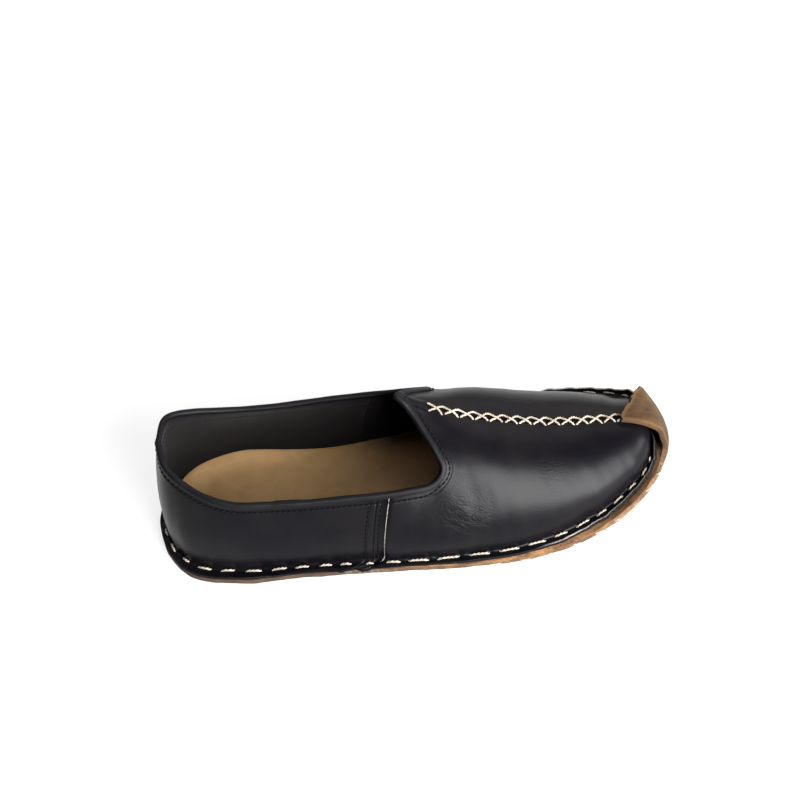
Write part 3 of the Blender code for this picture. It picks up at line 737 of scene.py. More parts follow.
    def columns(self):
        """Columns in order round the shoe: outer quarter, inner quarter, inner vamp, outer vamp."""
        made = [self.quarter["outer"][:, i] for i in range(QUARTER_COLUMNS + 1)]
        made += [self.quarter["inner"][:, i] for i in range(QUARTER_COLUMNS - 1, 0, -1)]
        made += [self.vamp["inner"][:, i] for i in range(VAMP_COLUMNS + 1)]
        made += [self.vamp["outer"][:, i] for i in range(VAMP_COLUMNS - 1, -1, -1)]
        return made

    def number(self, side, part, column):
        """Place of a column in the order round the shoe."""
        if part == "quarter":
            return column if side == "outer" else 2 * QUARTER_COLUMNS - column
        return 2 * QUARTER_COLUMNS + (column if side == "inner" else 2 * VAMP_COLUMNS - column)


def knit(columns):
    """Points, faces, each face's column and row, and each column's point numbers. Equal points are one."""
    places, points, numbers = {}, [], []
    for column in columns:
        run = []
        for key in map(tuple, np.round(column, 4)):
            if key not in places:
                places[key] = len(points)
                points.append(key)
            run.append(places[key])
        numbers.append(run)
    faces, cells = [], []
    for i, left in enumerate(numbers):
        right = numbers[(i + 1) % len(numbers)]
        for row in range(min(len(left), len(right)) - 1):
            face = list(dict.fromkeys((left[row], right[row], right[row + 1], left[row + 1])))
            if len(face) > 2:
                faces.append(face)
                cells.append((i, row))
    return np.array(points), faces, cells, numbers


def facing_up(points, faces, place=None):
    """Faces turned so that the highest one, or the one nearest to a place, looks up."""
    if place is None:
        chosen = max(faces, key=lambda face: points[face, 2].mean())
    else:
        chosen = min(faces, key=lambda face: np.linalg.norm(points[face].mean(axis=0) - place))
    a, b, c = points[chosen[:3]]
    return [face[::-1] for face in faces] if np.cross(b - a, c - b)[2] < 0 else faces


def point_normals(points, faces):
    normals = np.zeros_like(points)
    for count in (3, 4):
        some = np.array([face for face in faces if len(face) == count])
        if len(some):
            flat = np.cross(points[some[:, 2]] - points[some[:, 0]], points[some[:, -1]] - points[some[:, 1]])
            for corner in range(count):
                np.add.at(normals, some[:, corner], flat)
    return unit(normals)


def roughly(points, size, seed):
    """Soft uneven swelling over points, between about -1 and 1, with swells of a size."""
    shift = Vector((seed * 3.1, seed * 1.7, seed * 0.9))
    return np.array([noise.noise(Vector(p) / size + shift) for p in points])


def press_lines(points, lines):
    """Depth pressed into points by soft creases drawn as (along, height) lines."""
    depth = np.zeros(len(points))
    flat = points[:, [0, 2]]
    for line, width, deep in lines:
        path = smooth_path(line, CREASE_POINTS)
        gap = np.linalg.norm(flat[:, None] - path[None], axis=2)
        nearest = gap.argmin(axis=1)
        ends = np.sin(math.pi * (nearest + 0.5) / len(path)) ** CREASE_ENDS
        far = gap.min(axis=1) / width
        lip = CREASE_LIP * np.exp(-((far - CREASE_LIP_AT) ** 2) / CREASE_LIP_SPREAD)
        depth += deep * ends * (np.exp(-(far**2)) - lip)
    return depth


class Leather:
    """The upper's finished outer face: its points, faces and what the finishes need to know about them."""

    def __init__(self):
        self.last = Last()
        columns = self.last.columns()
        self.points, self.faces, self.cells, self.numbers = knit(columns)
        self.faces = facing_up(self.points, self.faces)
        self.measure_edges(columns)
        self.press()
        self.normals = point_normals(self.points, self.faces)
        self.tree = BVHTree.FromPolygons(self.points.tolist(), self.faces)

    def measure_edges(self, columns):
        """Distances from the flange's edge, from the side seams to either hand, and from the top edge."""
        self.from_flange = np.zeros(len(self.points))
        for column, numbers in zip(columns, self.numbers):
            self.from_flange[numbers] = chord_lengths(column)
        self.behind_seam, self.before_seam = (np.full(len(self.points), FAR) for _ in range(2))
        for side in SIDES:
            arcs = self.last.quarter_arcs(side)
            away = np.abs(arcs - self.last.seam[side])
            for i in range(QUARTER_COLUMNS):
                measure = self.behind_seam if i > self.last.seam_column[side] else self.before_seam
                measure[self.numbers[self.last.number(side, "quarter", i)]] = away[i]
        edge = self.points[self.top_edge()[0]]
        self.from_top = nearest_gap(self.points, edge)

    def top_edge(self):
        """Numbers of the closed top edge's points, from the peak down the outer side, and of those below."""
        last, edge, below = self.last, [], []
        aside, under = 3, 2
        for side in SIDES:
            def at(part, column, row):
                return self.numbers[last.number(side, part, column)][row]
            rows = range(last.ridge, last.shoulder, -1)
            run = [(at("vamp", 0, row), at("vamp", aside, row)) for row in rows]
            run.append((at("quarter", 0, last.shoulder), at("vamp", aside, last.shoulder - under)))
            for i in range(1, QUARTER_COLUMNS + 1):
                run.append((at("quarter", i, last.shoulder), at("quarter", i, last.shoulder - under)))
            if side == "inner":
                run = run[1:-1][::-1]
            edge += [p for p, _ in run]
            below += [b for _, b in run]
        return edge, below

    def press(self):
        """Adds the listed creases, a shallow centre seam, thread holes and slight unevenness."""
        points = self.points
        normals = point_normals(points, self.faces)
        free = smooth_ramp(self.from_top, *SWELL_TOP) * smooth_ramp(self.from_flange, *SWELL_FOOT)
        push = free * sum(depth * roughly(points, size, seed) for seed, (depth, size) in enumerate(SWELLS, 1))
        self.creased = np.zeros(len(points))
        for side in SIDES:
            here = (points[:, 1] < RIDGE_SIDE) == (side == "outer")
            steep = here & (points[:, 0] > CREASE_FROM)
            push[steep] -= press_lines(points[steep], CREASES[side]) * free[steep]
            for along, height, reach, much in CREASE_ZONES:
                gap = np.hypot(points[:, 0] - along, points[:, 2] - height) / reach
                self.creased += np.where(here, much * np.exp(-(gap**2)), 0.0)
        seam = np.linspace(*RIDGE_SPAN, RIDGE_POINTS)
        ridge = np.column_stack([seam, crown_at(seam)[:, :2]])
        ridge[:, 1] += cross_side(seam)
        near = np.where(points[:, 0] > RIDGE_FROM)[0]
        gap = np.linalg.norm(points[near][:, None] - ridge[None], axis=2).min(axis=1)
        groove = GROOVE_DEPTH * np.exp(-((gap / GROOVE_WIDTH) ** 2))
        push[near] -= groove - RISE_HEIGHT * np.exp(-(((gap - RISE_AT) / RISE_WIDTH) ** 2))
        for start, end, inward in flange_stitches():
            for arc in (start, end):
                hole = flange_point(arc, inward)
                gap = np.linalg.norm(points - hole, axis=1)
                push -= HOLE_DEPTH * np.exp(-((gap / HOLE_WIDTH) ** 2))
        self.points = points + normals * push[:, None]

    def on_face(self, places, lift=0.0):
        """Nearest places on the leather, raised from it by a lift."""
        found = [self.tree.find_nearest(Vector(place)) for place in places]
        spots = np.array([spot for spot, _, _, _ in found])
        out = np.array([self.smooth_normal(spot, face) for spot, _, face, _ in found])
        return spots + out * np.asarray(lift, float).reshape(-1, 1)

    def smooth_normal(self, spot, face):
        corners = self.faces[face]
        weights = 1.0 / (np.linalg.norm(self.points[corners] - np.array(spot), axis=1) + 0.05)
        return unit(self.normals[corners].T @ weights)


def flange_point(arc, inward):
    """Point on top of the flange, inward from its free edge."""
    along = OUTLINE.point(arc)[0]
    margin, _ = flange_at(arc)
    plan = OUTLINE.inset(np.array([arc]), np.array([margin + inward]))[0]
    height = sole_bottom(along, margin + inward, arc) + SOLE_THICK + GAP + UPPER_THICK
    return np.array([*plan, float(height)])


@functools.lru_cache(maxsize=None)
def flange_stitches():
    """Start and end arcs of each stitch round the flange and its place inward, a little uneven by hand."""
    rng = np.random.default_rng(SEED)
    places = list(OUTER_STITCHES)
    while True:
        before, long = places[-1]
        _, gap = table_at(STITCH_TABLE, OUTLINE.point(before)[0])
        at = before + long + float(gap) * (1.0 + UNEVEN_GAP * rng.uniform(-1, 1))
        if at > OUTLINE.whole - STITCH_END:
            break
        long, _ = table_at(STITCH_TABLE, OUTLINE.point(at)[0])
        places.append((at, float(long) * (1.0 + UNEVEN_LENGTH * rng.uniform(-1, 1))))
    made = []
    for at, long in places:
        inner = float(inner_toe(at, OUTLINE.point(at)[0]))
        inset = STITCH_INSET + INNER_TOE_INSET * inner + UNEVEN_INSET * rng.uniform(0, 1)
        made.append((at, at + long, float(flange_at(at)[1]) - inset))
    return tuple(made)


def scallop(arcs):
    """Round the flange, -1 where thread holes draw its edge in and 1 midway along a stitch."""
    knots, values = [], []
    for start, end, _ in flange_stitches():
        knots += [start - 0.2, (start + end) / 2, end + 0.2]
        values += [-1.0, 1.0, -1.0]
    return np.sin(np.interp(np.asarray(arcs) % OUTLINE.whole, knots, values) * math.pi / 2)


@functools.lru_cache(maxsize=None)
def leather():
    return Leather()


class Amount:
    """A number that varies over a piece: a socket that is used in ordinary sums."""

    def __init__(self, bench, socket):
        self.bench = bench
        self.socket = socket

    def work(self, operation, first, second=0.0):
        node = self.bench.add("ShaderNodeMath", {"operation": operation}, {0: first, 1: second})
        return Amount(self.bench, node.outputs[0])

    def __add__(self, other):
        return self.work("ADD", self, other)

    def __sub__(self, other):
        return self.work("SUBTRACT", self, other)

    def __rsub__(self, other):
        return self.work("SUBTRACT", other, self)

    def __mul__(self, other):
        return self.work("MULTIPLY", self, other)

    def __truediv__(self, other):
        return self.work("DIVIDE", self, other)

    def __rtruediv__(self, other):
        return self.work("DIVIDE", other, self)

    def __abs__(self):
        return self.work("ABSOLUTE", self)

    __radd__ = __add__
    __rmul__ = __mul__

    def cosine(self):
        return self.work("COSINE", self)

    def sine(self):
        return self.work("SINE", self)


class Bench:
    """Adds nodes to a tree: first a node's settings, then the values or links of its sockets."""

    def __init__(self, tree):
        self.tree = tree

    def add(self, kind, settings=None, sockets=None):
        node = self.tree.nodes.new(kind)
        for name, value in (settings or {}).items():
            setattr(node, name, value)
        for name, value in (sockets or {}).items():
            self.put(node, name, value)
        return node

    def put(self, node, name, value):
        socket = node.inputs[name] if isinstance(name, int) else self.find(node.inputs, name)
        value = value.socket if isinstance(value, Amount) else value
        if isinstance(value, bpy.types.NodeSocket):
            self.tree.links.new(value, socket)
        else:
            socket.default_value = value

    @staticmethod
    def find(sockets, name):
        for socket in sockets:
            if socket.identifier == name:
                return socket
        return sockets[name]

    def amount(self, node, name):
        return Amount(self, self.find(node.outputs, name))


class Finish(Bench):
    """A material in the making, on its one Principled shader."""

    def __init__(self, name, **fixed):
        self.material = bpy.data.materials.new(name)
        self.material.use_nodes = True
        super().__init__(self.material.node_tree)
        self.shader = self.tree.nodes["Principled BSDF"]
        self.place = self.add("ShaderNodeTexCoord").outputs["Object"]
        for name, value in fixed.items():
            self.put(self.shader, name.replace("_", " "), value)

    def stretched(self, x, y, z, turn=0.0):
        """Object coordinates scaled along each axis, and turned about the upright one."""
        sockets = {"Vector": self.place, "Rotation": (0, 0, turn), "Scale": (x, y, z)}
        return self.add("ShaderNodeMapping", None, sockets).outputs["Vector"]

    def slanted(self, turn, long):
        """Object coordinates drawn out along the toe's direction tipped down by a turn."""
        sockets = {"Vector": self.place, "Rotation": (0, turn, 0), "Scale": (long, 1.0, 1.0)}
        return self.add("ShaderNodeMapping", {"vector_type": "TEXTURE"}, sockets).outputs["Vector"]

    def axis(self, letter):
        return self.amount(self.add("ShaderNodeSeparateXYZ", None, {"Vector": self.place}), letter)

    def measure(self, name):
        return self.amount(self.add("ShaderNodeAttribute", {"attribute_name": name}), "Fac")

    def clouds(self, scale, detail=3.0, rough=0.55, place=None, bend=0.0):
        """Soft noise about 0.5, with a scale in swells to the metre."""
        sockets = {"Scale": scale, "Detail": detail, "Roughness": rough, "Distortion": bend}
        sockets["Vector"] = place or self.place
        return self.amount(self.add("ShaderNodeTexNoise", None, sockets), "Fac")

    def cells(self, scale, place=None, feature="F1"):
        """Distance across packed cells, with a scale in cells to the metre."""
        sockets = {"Vector": place or self.place, "Scale": scale}
        return self.amount(self.add("ShaderNodeTexVoronoi", {"feature": feature}, sockets), "Distance")

    def fade(self, value, start, end):
        """0 at start and 1 at end, with a soft change between."""
        settings = {"interpolation_type": "SMOOTHSTEP"}
        sockets = {"Value": value, "From Min": start, "From Max": end}
        return self.amount(self.add("ShaderNodeMapRange", settings, sockets), "Result")

    def trough(self, value, middle, half):
        """1 at a middle value, and 0 beyond a half width from it."""
        return self.fade(abs(value - middle), half, 0.0)

    def mix(self, share, first, second):
        """Colour that goes from the first to the second by a share."""
        first, second = ((*c, 1.0) if isinstance(c, tuple) else c for c in (first, second))
        sockets = {"Factor_Float": share, "A_Color": first, "B_Color": second}
        return self.find(self.add("ShaderNodeMix", {"data_type": "RGBA"}, sockets).outputs, "Result_Color")

    def bump(self, height, depth_mm, strength=1.0):
        sockets = {"Height": height, "Distance": depth_mm * MM, "Strength": strength}
        return self.add("ShaderNodeBump", None, sockets).outputs["Normal"]

    def done(self, **varying):
        for name, value in varying.items():
            self.put(self.shader, name.replace("_", " "), value)
        return self.material


def colour(name):
    return tuple(getattr(bpy.context.scene.shoe_colours, name))


@functools.lru_cache(maxsize=None)
def upper_leather():
    finish = Finish("upper_leather", Specular_IOR_Level=0.058, Coat_Roughness=0.3)
    black, worn = colour("upper"), colour("upper_lit")
    swell = finish.clouds(38.0, 4.0)
    fine = finish.clouds(1100.0, 3.0)
    grain = finish.cells(1150.0, feature="SMOOTH_F1")
    pores = finish.fade(finish.cells(560.0), 0.16, 0.02)
    creased = finish.measure("creased")
    crackle = finish.cells(620.0, finish.slanted(0.57, 1.8), "DISTANCE_TO_EDGE")
    folds = finish.clouds(280.0, 2.0, 0.5, finish.slanted(0.57, 4.0), 0.6)
    lines = finish.trough(folds, 0.45, 0.05) + finish.trough(folds, 0.58, 0.05)
    wrinkle = (finish.fade(crackle, 0.0, 0.2) * 0.4 - lines) * creased
    tint = finish.mix(finish.fade(swell, 0.35, 0.7), black, worn)
    tint = finish.mix(finish.fade(fine, 0.45, 0.75) * 0.35, tint, worn)
    edge = finish.measure("from_flange") + finish.clouds(160.0, 2.0) * 0.5 - 0.25
    front = finish.fade(finish.axis("X"), 0.052, 0.074)
    pale = (1.0 - finish.fade(edge, 0.6, 0.85)) * front
    lap = 1.0 - finish.fade(finish.measure("before_seam"), 0.5, 0.8)
    lap = lap * (1.0 - finish.fade(finish.measure("from_flange"), 3.6, 5.0))
    tint = finish.mix(pale + lap, tint, colour("raw_edge"))
    rough = 0.26 + 0.1 * swell + 0.05 * fine + 0.04 * creased + 0.3 * pale
    groove = finish.trough(finish.measure("from_top"), COLLAR_ROW, 1.1)
    for behind in SEAM_ROWS:
        groove = groove + finish.trough(finish.measure("behind_seam"), behind, 0.8)
    pebble = finish.clouds(330.0, 3.0, 0.6)
    height = grain * 0.3 + fine * 0.35 - pores * 0.3 + pebble * 0.7 + wrinkle * 1.7 - groove * 2.4
    coat, relief = 0.042 - 0.04 * pale, finish.bump(height, 0.1, 0.8)
    return finish.done(Base_Color=tint, Roughness=rough, Coat_Weight=coat, Normal=relief)


@functools.lru_cache(maxsize=None)
def lining_leather():
    finish = Finish("lining_nap", Specular_IOR_Level=0.08, Sheen_Weight=0.03, Sheen_Roughness=0.5)
    nap = finish.clouds(1500.0, 4.0, 0.7)
    drift = finish.clouds(60.0, 3.0)
    band = 1.0 - finish.fade(finish.measure("from_top"), 4.6, 5.4)
    tint = finish.mix(finish.fade(nap * 0.5 + drift * 0.5, 0.35, 0.7), colour("lining"), colour("lining_lit"))
    tint = finish.mix(band * 0.7, tint, colour("upper"))
    return finish.done(Base_Color=tint, Roughness=0.78 + 0.15 * nap, Normal=finish.bump(nap, 0.12, 0.6))


@functools.lru_cache(maxsize=None)
def pale_cut():
    finish = Finish("raw_seam_edge", Specular_IOR_Level=0.3)
    fibre = finish.clouds(1800.0, 3.0, place=finish.stretched(1.0, 1.0, 0.35))
    tint = finish.mix(finish.fade(fibre, 0.35, 0.65), colour("raw_edge_dark"), colour("raw_edge"))
    return finish.done(Base_Color=tint, Roughness=0.7 + 0.2 * fibre, Normal=finish.bump(fibre, 0.1))


@functools.lru_cache(maxsize=None)
def dark_cut():
    finish = Finish("flange_cut_edge", Specular_IOR_Level=0.08)
    fibre = finish.clouds(1600.0, 3.0)
    tint = finish.mix(finish.fade(fibre, 0.45, 0.8) * 0.14, colour("upper"), colour("raw_edge_dark"))
    return finish.done(Base_Color=tint, Roughness=0.7 + 0.2 * fibre, Normal=finish.bump(fibre, 0.1))


@functools.lru_cache(maxsize=None)
def binding_leather():
    finish = Finish("binding_leather", Specular_IOR_Level=0.1)
    fine = finish.clouds(1100.0, 4.0)
    swell = finish.clouds(90.0, 3.0)
    tint = finish.mix(finish.fade(swell, 0.35, 0.7), colour("upper"), colour("upper_lit"))
    rough = 0.4 + 0.16 * swell + 0.06 * fine
    height = fine * 0.5 + finish.cells(1500.0) * 0.4
    return finish.done(Base_Color=tint, Roughness=rough, Normal=finish.bump(height, 0.08, 0.6))


@functools.lru_cache(maxsize=None)
def sole_grain():
    finish = Finish("sole_leather", Specular_IOR_Level=0.3)
    fine = finish.clouds(700.0, 4.0, 0.65)
    stain = finish.clouds(70.0, 4.0)
    fade = finish.fade(stain * 0.7 + fine * 0.3, 0.34, 0.66)
    tint = finish.mix(fade, colour("sole_dark"), colour("sole"))
    # Painted shade: the sole's top face darkens towards the heel and waist, where the lights fall away
    heel = 1.0 - finish.fade(finish.axis("X") + stain * 0.03, -0.06, 0.075)
    tint = finish.mix(heel * 0.75, tint, colour("sole_heel_shade"))
    height = fine * 0.6 + finish.cells(900.0) * 0.4
    return finish.done(Base_Color=tint, Roughness=0.62 + 0.2 * fine, Normal=finish.bump(height, 0.12, 0.7))


@functools.lru_cache(maxsize=None)
def sole_nap():
    """Brushed outer face of the sole, which is the face that shows on the folded tab."""
    finish = Finish("sole_nap", Specular_IOR_Level=0.1, Sheen_Weight=0.04, Sheen_Roughness=0.45)
    nap = finish.clouds(1300.0, 5.0, 0.72, finish.stretched(0.6, 1.0, 1.0, 0.5))
    drift = finish.clouds(85.0, 4.0, 0.6, bend=0.6)
    scuff = finish.clouds(300.0, 3.0, 0.6, finish.stretched(0.35, 1.0, 1.0, 0.7))
    blend = finish.fade(nap * 0.3 + drift * 0.45 + scuff * 0.25, 0.37, 0.65)
    tint = finish.mix(blend, colour("nap_dark"), colour("nap"))
    rim = 1.0 - finish.fade(finish.measure("from_cut") + scuff * 1.6 - 0.8, 0.3, 2.6)
    tint = finish.mix(rim * 0.15, tint, colour("sole"))
    height = nap * 0.8 + scuff * 0.4
    return finish.done(Base_Color=tint, Roughness=0.82 + 0.12 * nap, Normal=finish.bump(height, 0.22, 0.8))


@functools.lru_cache(maxsize=None)
def sole_cut():
    finish = Finish("sole_cut_edge", Specular_IOR_Level=0.25)
    fibre = finish.clouds(1500.0, 4.0, 0.65, finish.stretched(0.4, 0.4, 1.6))
    stain = finish.clouds(110.0, 4.0)
    worn = finish.fade(stain * 0.6 + fibre * 0.4, 0.38, 0.62)
    tint = finish.mix(worn, colour("sole_dark"), colour("sole_cut"))
    along = finish.axis("X")
    # Painted shade: the cut edge darkens towards the heel and waist, where the lights fall away
    heel = 1.0 - finish.fade(along + stain * 0.03, -0.06, 0.075)
    tint = finish.mix(heel * 0.75, tint, colour("sole_heel_shade"))
    tint = finish.mix(finish.fade(finish.axis("Z"), 0.018, 0.025) * 0.8, tint, colour("sole_dark"))
    torn = finish.clouds(420.0, 4.0, 0.7, finish.stretched(1.0, 1.0, 0.3))
    waist = finish.trough(along, -0.036, 0.022) * finish.fade(torn, 0.48, 0.6)
    tint = finish.mix(waist * 0.6, tint, colour("raw_edge_dark"))
    # Painted shade: the cut edge is near black at the very back of the heel
    tint = finish.mix((1.0 - finish.fade(along, -0.138, -0.115)) * 0.7, tint, colour("upper_lit"))
    return finish.done(Base_Color=tint, Roughness=0.74 + 0.18 * fibre, Normal=finish.bump(fibre, 0.25, 0.9))


@functools.lru_cache(maxsize=None)
def insole_leather():
    finish = Finish("insole_leather", Specular_IOR_Level=0.28)
    fine = finish.clouds(900.0, 4.0, 0.6)
    drift = finish.clouds(26.0, 4.0, 0.55, bend=0.8)
    spots = finish.clouds(120.0, 5.0, 0.6)
    veins = finish.cells(55.0, finish.stretched(0.45, 1.0, 1.0, 0.3), "DISTANCE_TO_EDGE")
    patches = finish.fade(drift * 0.6 + spots * 0.4, 0.36, 0.64)
    tint = finish.mix(patches, colour("insole_dark"), colour("insole"))
    tint = finish.mix((1.0 - finish.fade(veins, 0.0, 0.05)) * 0.2, tint, colour("insole_pale"))
    # Painted shade under the vamp, together with the insole's worn patina: browner and darker towards the
    # front
    front = finish.fade(finish.axis("X") + drift * 0.03, -0.03, 0.038)
    tint = finish.mix(front * 0.85, tint, colour("insole_front"))
    rim = 1.0 - finish.fade(finish.measure("from_cut"), 0.2, 2.4)
    tint = finish.mix(rim * 0.4, tint, colour("insole_dark"))
    height = fine * 0.5 + finish.cells(1100.0) * 0.4 + (1.0 - finish.fade(veins, 0.0, 0.04)) * 0.3
    return finish.done(Base_Color=tint, Roughness=0.6 + 0.16 * fine, Normal=finish.bump(height, 0.1, 0.6))


@functools.lru_cache(maxsize=None)
def thread_finish(name, gloss=WAXED):
    finish = Finish(name, Specular_IOR_Level=gloss)
    fuzz = finish.clouds(2600.0, 4.0, 0.7)
    # The darker colour is handled grime on the sole thread, and painted shade on the other threads
    grime_and_shade = finish.clouds(140.0, 3.0)
    light, dark = colour(name), colour(name + "_dark")
    tint = finish.mix(finish.fade(grime_and_shade * 0.55 + fuzz * 0.45, 0.36, 0.66), dark, light)
    return finish.done(Base_Color=tint, Roughness=0.6 + 0.25 * fuzz, Normal=finish.bump(fuzz, 0.08, 0.6))


def new_piece(name, points, faces, materials, marks=None, **measures):
    """Object over points in millimetres, set in the frame, with its materials and measures."""
    mesh = bpy.data.meshes.new(name)
    mesh.from_pydata(((np.asarray(points) - ORIGIN) * MM).tolist(), [], faces)
    for key, values in measures.items():
        layer = mesh.attributes.new(key, "FLOAT", "POINT")
        layer.data.foreach_set("value", np.asarray(values, np.float32))
    for material in materials:
        mesh.materials.append(material)
    if marks is not None:
        mesh.polygons.foreach_set("material_index", np.asarray(marks, np.int32))
    mesh.shade_smooth()
    obj = bpy.data.objects.new(name, mesh)
    bpy.context.scene.collection.objects.link(obj)
    return obj


def add_thickness(obj, thick, offset, full=None, thinnest=1.0, inner=0, rim=0):
    """Gives a sheet its thickness; full is each point's share between the thinnest and the whole."""
    wall = obj.modifiers.new("thickness", "SOLIDIFY")
    wall.thickness = thick * MM
    wall.offset = offset
    wall.use_even_offset = False
    wall.use_quality_normals = True
    wall.material_offset = inner
    wall.material_offset_rim = rim
    if full is not None:
        group = obj.vertex_groups.new(name="full_thickness")
        for number, share in enumerate(full):
            group.add([number], float(share), "REPLACE")
        wall.vertex_group = group.name
        wall.thickness_vertex_group = thinnest


def round_edges(obj):
    bevel = obj.modifiers.new("rounded", "BEVEL")
    bevel.width = EDGE_ROUND * MM
    bevel.segments = 2
    bevel.limit_method = "ANGLE"
    bevel.angle_limit = EDGE_ANGLE
    bevel.use_clamp_overlap = True
    bevel.harden_normals = False


def settle(obj):
    """Turns what an object's modifiers make into its plain mesh."""
    bpy.context.view_layer.update()
    graph = bpy.context.evaluated_depsgraph_get()
    mesh = bpy.data.meshes.new_from_object(obj.evaluated_get(graph), depsgraph=graph)
    if not mesh.polygons:
        raise RuntimeError(f"{obj.name} came out empty")
    obj.modifiers.clear()
    obj.vertex_groups.clear()
    obj.data = mesh
    mesh.name = obj.name
    return obj


def fit_piece(obj, slot, *nodes):
    """Puts a finished piece on the shoe's body, in the place of its solid."""
    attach(obj, "root")
    if nodes:
        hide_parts(*nodes)


def make_upper():
    """Outer face, lining and edges. The finishes stand face, lining, seam edge, lining, flange edge."""
    face = leather()
    last, seam_edge = face.last, 2
    seams = {last.number(side, "quarter", last.seam_column[side]) - (side == "inner") for side in SIDES}
    marks = [seam_edge if column in seams and row < last.shoulder - 2 else 0 for column, row in face.cells]
    materials = (upper_leather(), lining_leather(), pale_cut(), lining_leather(), dark_cut())
    measures = {
        "from_top": face.from_top,
        "from_flange": face.from_flange,
        "behind_seam": face.behind_seam,
        "before_seam": face.before_seam,
        "creased": face.creased,
    }
    obj = new_piece("upper_leather", face.points, face.faces, materials, marks, **measures)
    full = np.clip(face.from_top / UPPER_EDGE_RUN, 0.0, 1.0)
    add_thickness(obj, UPPER_THICK, -1.0, full, UPPER_EDGE_SHARE, inner=1, rim=4)
    fit_piece(settle(obj), "upper_leather", "upper")


def loop_mean(values, reach):
    """Values round a closed loop, each the mean of its neighbours within a reach."""
    return sum(np.roll(values, k, axis=0) for k in range(-reach, reach + 1)) / (2 * reach + 1)


def make_binding():
    """Strip folded over the top edge, its section drawn on both faces of the wall, with one lapped joint."""
    face = leather()
    edge, below = (np.array(numbers) for numbers in face.top_edge())
    thick = UPPER_THICK * UPPER_EDGE_SHARE
    outer = face.points[edge]
    down = unit(loop_mean(unit(face.points[below] - outer), 3))
    ahead = unit(np.roll(outer, -1, axis=0) - np.roll(outer, 1, axis=0))
    down = unit(down - ahead * np.sum(down * ahead, axis=1, keepdims=True))
    out = unit(np.cross(ahead, down))
    out *= np.sign(np.sum(out * face.normals[edge], axis=1, keepdims=True))
    inner = outer - out * thick
    middle = (outer + inner) / 2
    arcs = chord_lengths(outer)
    joint = arcs[np.argmin(np.linalg.norm(outer - np.array(BINDING_JOINT), axis=1))]
    lap = arcs - joint
    extra = BINDING_LAP * smooth_ramp(lap, *BINDING_LAP_ARC) * (lap < BINDING_LAP_END)
    proud = BINDING_PROUD + extra + 0.07 * np.sin(arcs / 7.3) + 0.05 * np.sin(arcs / 3.1 + 1.0)
    proud = proud[:, None]
    leg = (BINDING_LEG + 0.15 * np.sin(arcs / 11.0) + 0.1 * np.sin(arcs / 4.7))[:, None]
    half = thick / 2
    ring = []
    for share, rise in BINDING_OUTSIDE:
        ring.append(outer + out * proud * rise + down * leg * share)
    crown = proud * BINDING_CROWN
    for turn in np.linspace(0.0, math.pi, BINDING_ROUND)[1:-1]:
        ring.append(middle + out * (half + proud) * math.cos(turn) - down * crown * math.sin(turn))
    for share, rise in BINDING_INSIDE:
        ring.append(inner - out * proud * rise + down * leg * share)
    columns = [np.array([place[i] for place in (*ring, ring[0])]) for i in range(len(outer))]
    points, faces, _, _ = knit(columns)
    faces = facing_up(points, faces)
    obj = new_piece("collar_binding_leather", points, faces, (binding_leather(),))
    fit_piece(obj, "binding_leather", "collar_binding")


def middle_line(along):
    """Line down the middle of a plate, short of the heel and toe by a little."""
    first, last = PLATE_MIDDLE
    x = first + (last - first) * ramp(along, 0.0, TOE_FRONT[0])
    table = np.array(LIP_TABLE)
    return np.column_stack([x, np.interp(x, table[:, 0], (table[:, 1] + table[:, 2]) / 2)])


def plate_columns(arcs, pairs, inset, rings, height):
    """Columns of a plate from its edge to its middle line."""
    start = OUTLINE.inset(arcs, inset)
    middle = middle_line(pairs)
    reach = np.linalg.norm(middle - start, axis=1)
    columns = []
    for i in range(len(arcs)):
        near = np.array(rings)
        far = near[-1] + (reach[i] - near[-1]) * np.array(PLATE_SHARES)
        steps = np.concatenate([near, far])
        plan = start[i] + (middle[i] - start[i]) * (steps / reach[i])[:, None]
        columns.append(np.column_stack([plan, height(plan[:, 0], inset[i] + steps, arcs[i])]))
    return columns


def ring_arcs():
    """Arcs of columns round the shoe in pairs across it, and the mean distance from the heel of each pair."""
    share = np.linspace(0.0, 1.0, SOLE_COLUMNS // 2 + 1) ** TOE_GATHER
    outer = OUTLINE.heel * share
    inner = OUTLINE.whole + (OUTLINE.heel - OUTLINE.whole) * share
    pairs = (OUTLINE.point(outer)[:, 0] + OUTLINE.point(inner)[:, 0]) / 2
    arcs = np.concatenate([outer, inner[-2:0:-1]])
    return arcs, np.concatenate([pairs, pairs[-2:0:-1]])


def tab_line(across):
    """Middle of the tab's thickness from its root to its tip, at a place across it from -1 to 1."""
    along, side, height, outer, inner, skew, bow = np.array(TAB_TABLE).T
    half = inner if across > 0 else outer
    back = bow * across * across - skew * across
    drop = TAB_BOW_DROP * bow * across * across
    return np.column_stack([along - back, side + across * half, height - drop])


def edge_frame(arc):
    """Directions out of the sole's edge, along it, and up."""
    x, y = OUTLINE.outward(arc)
    return np.array([(x, y, 0.0), (-y, x, 0.0), (0.0, 0.0, 1.0)])


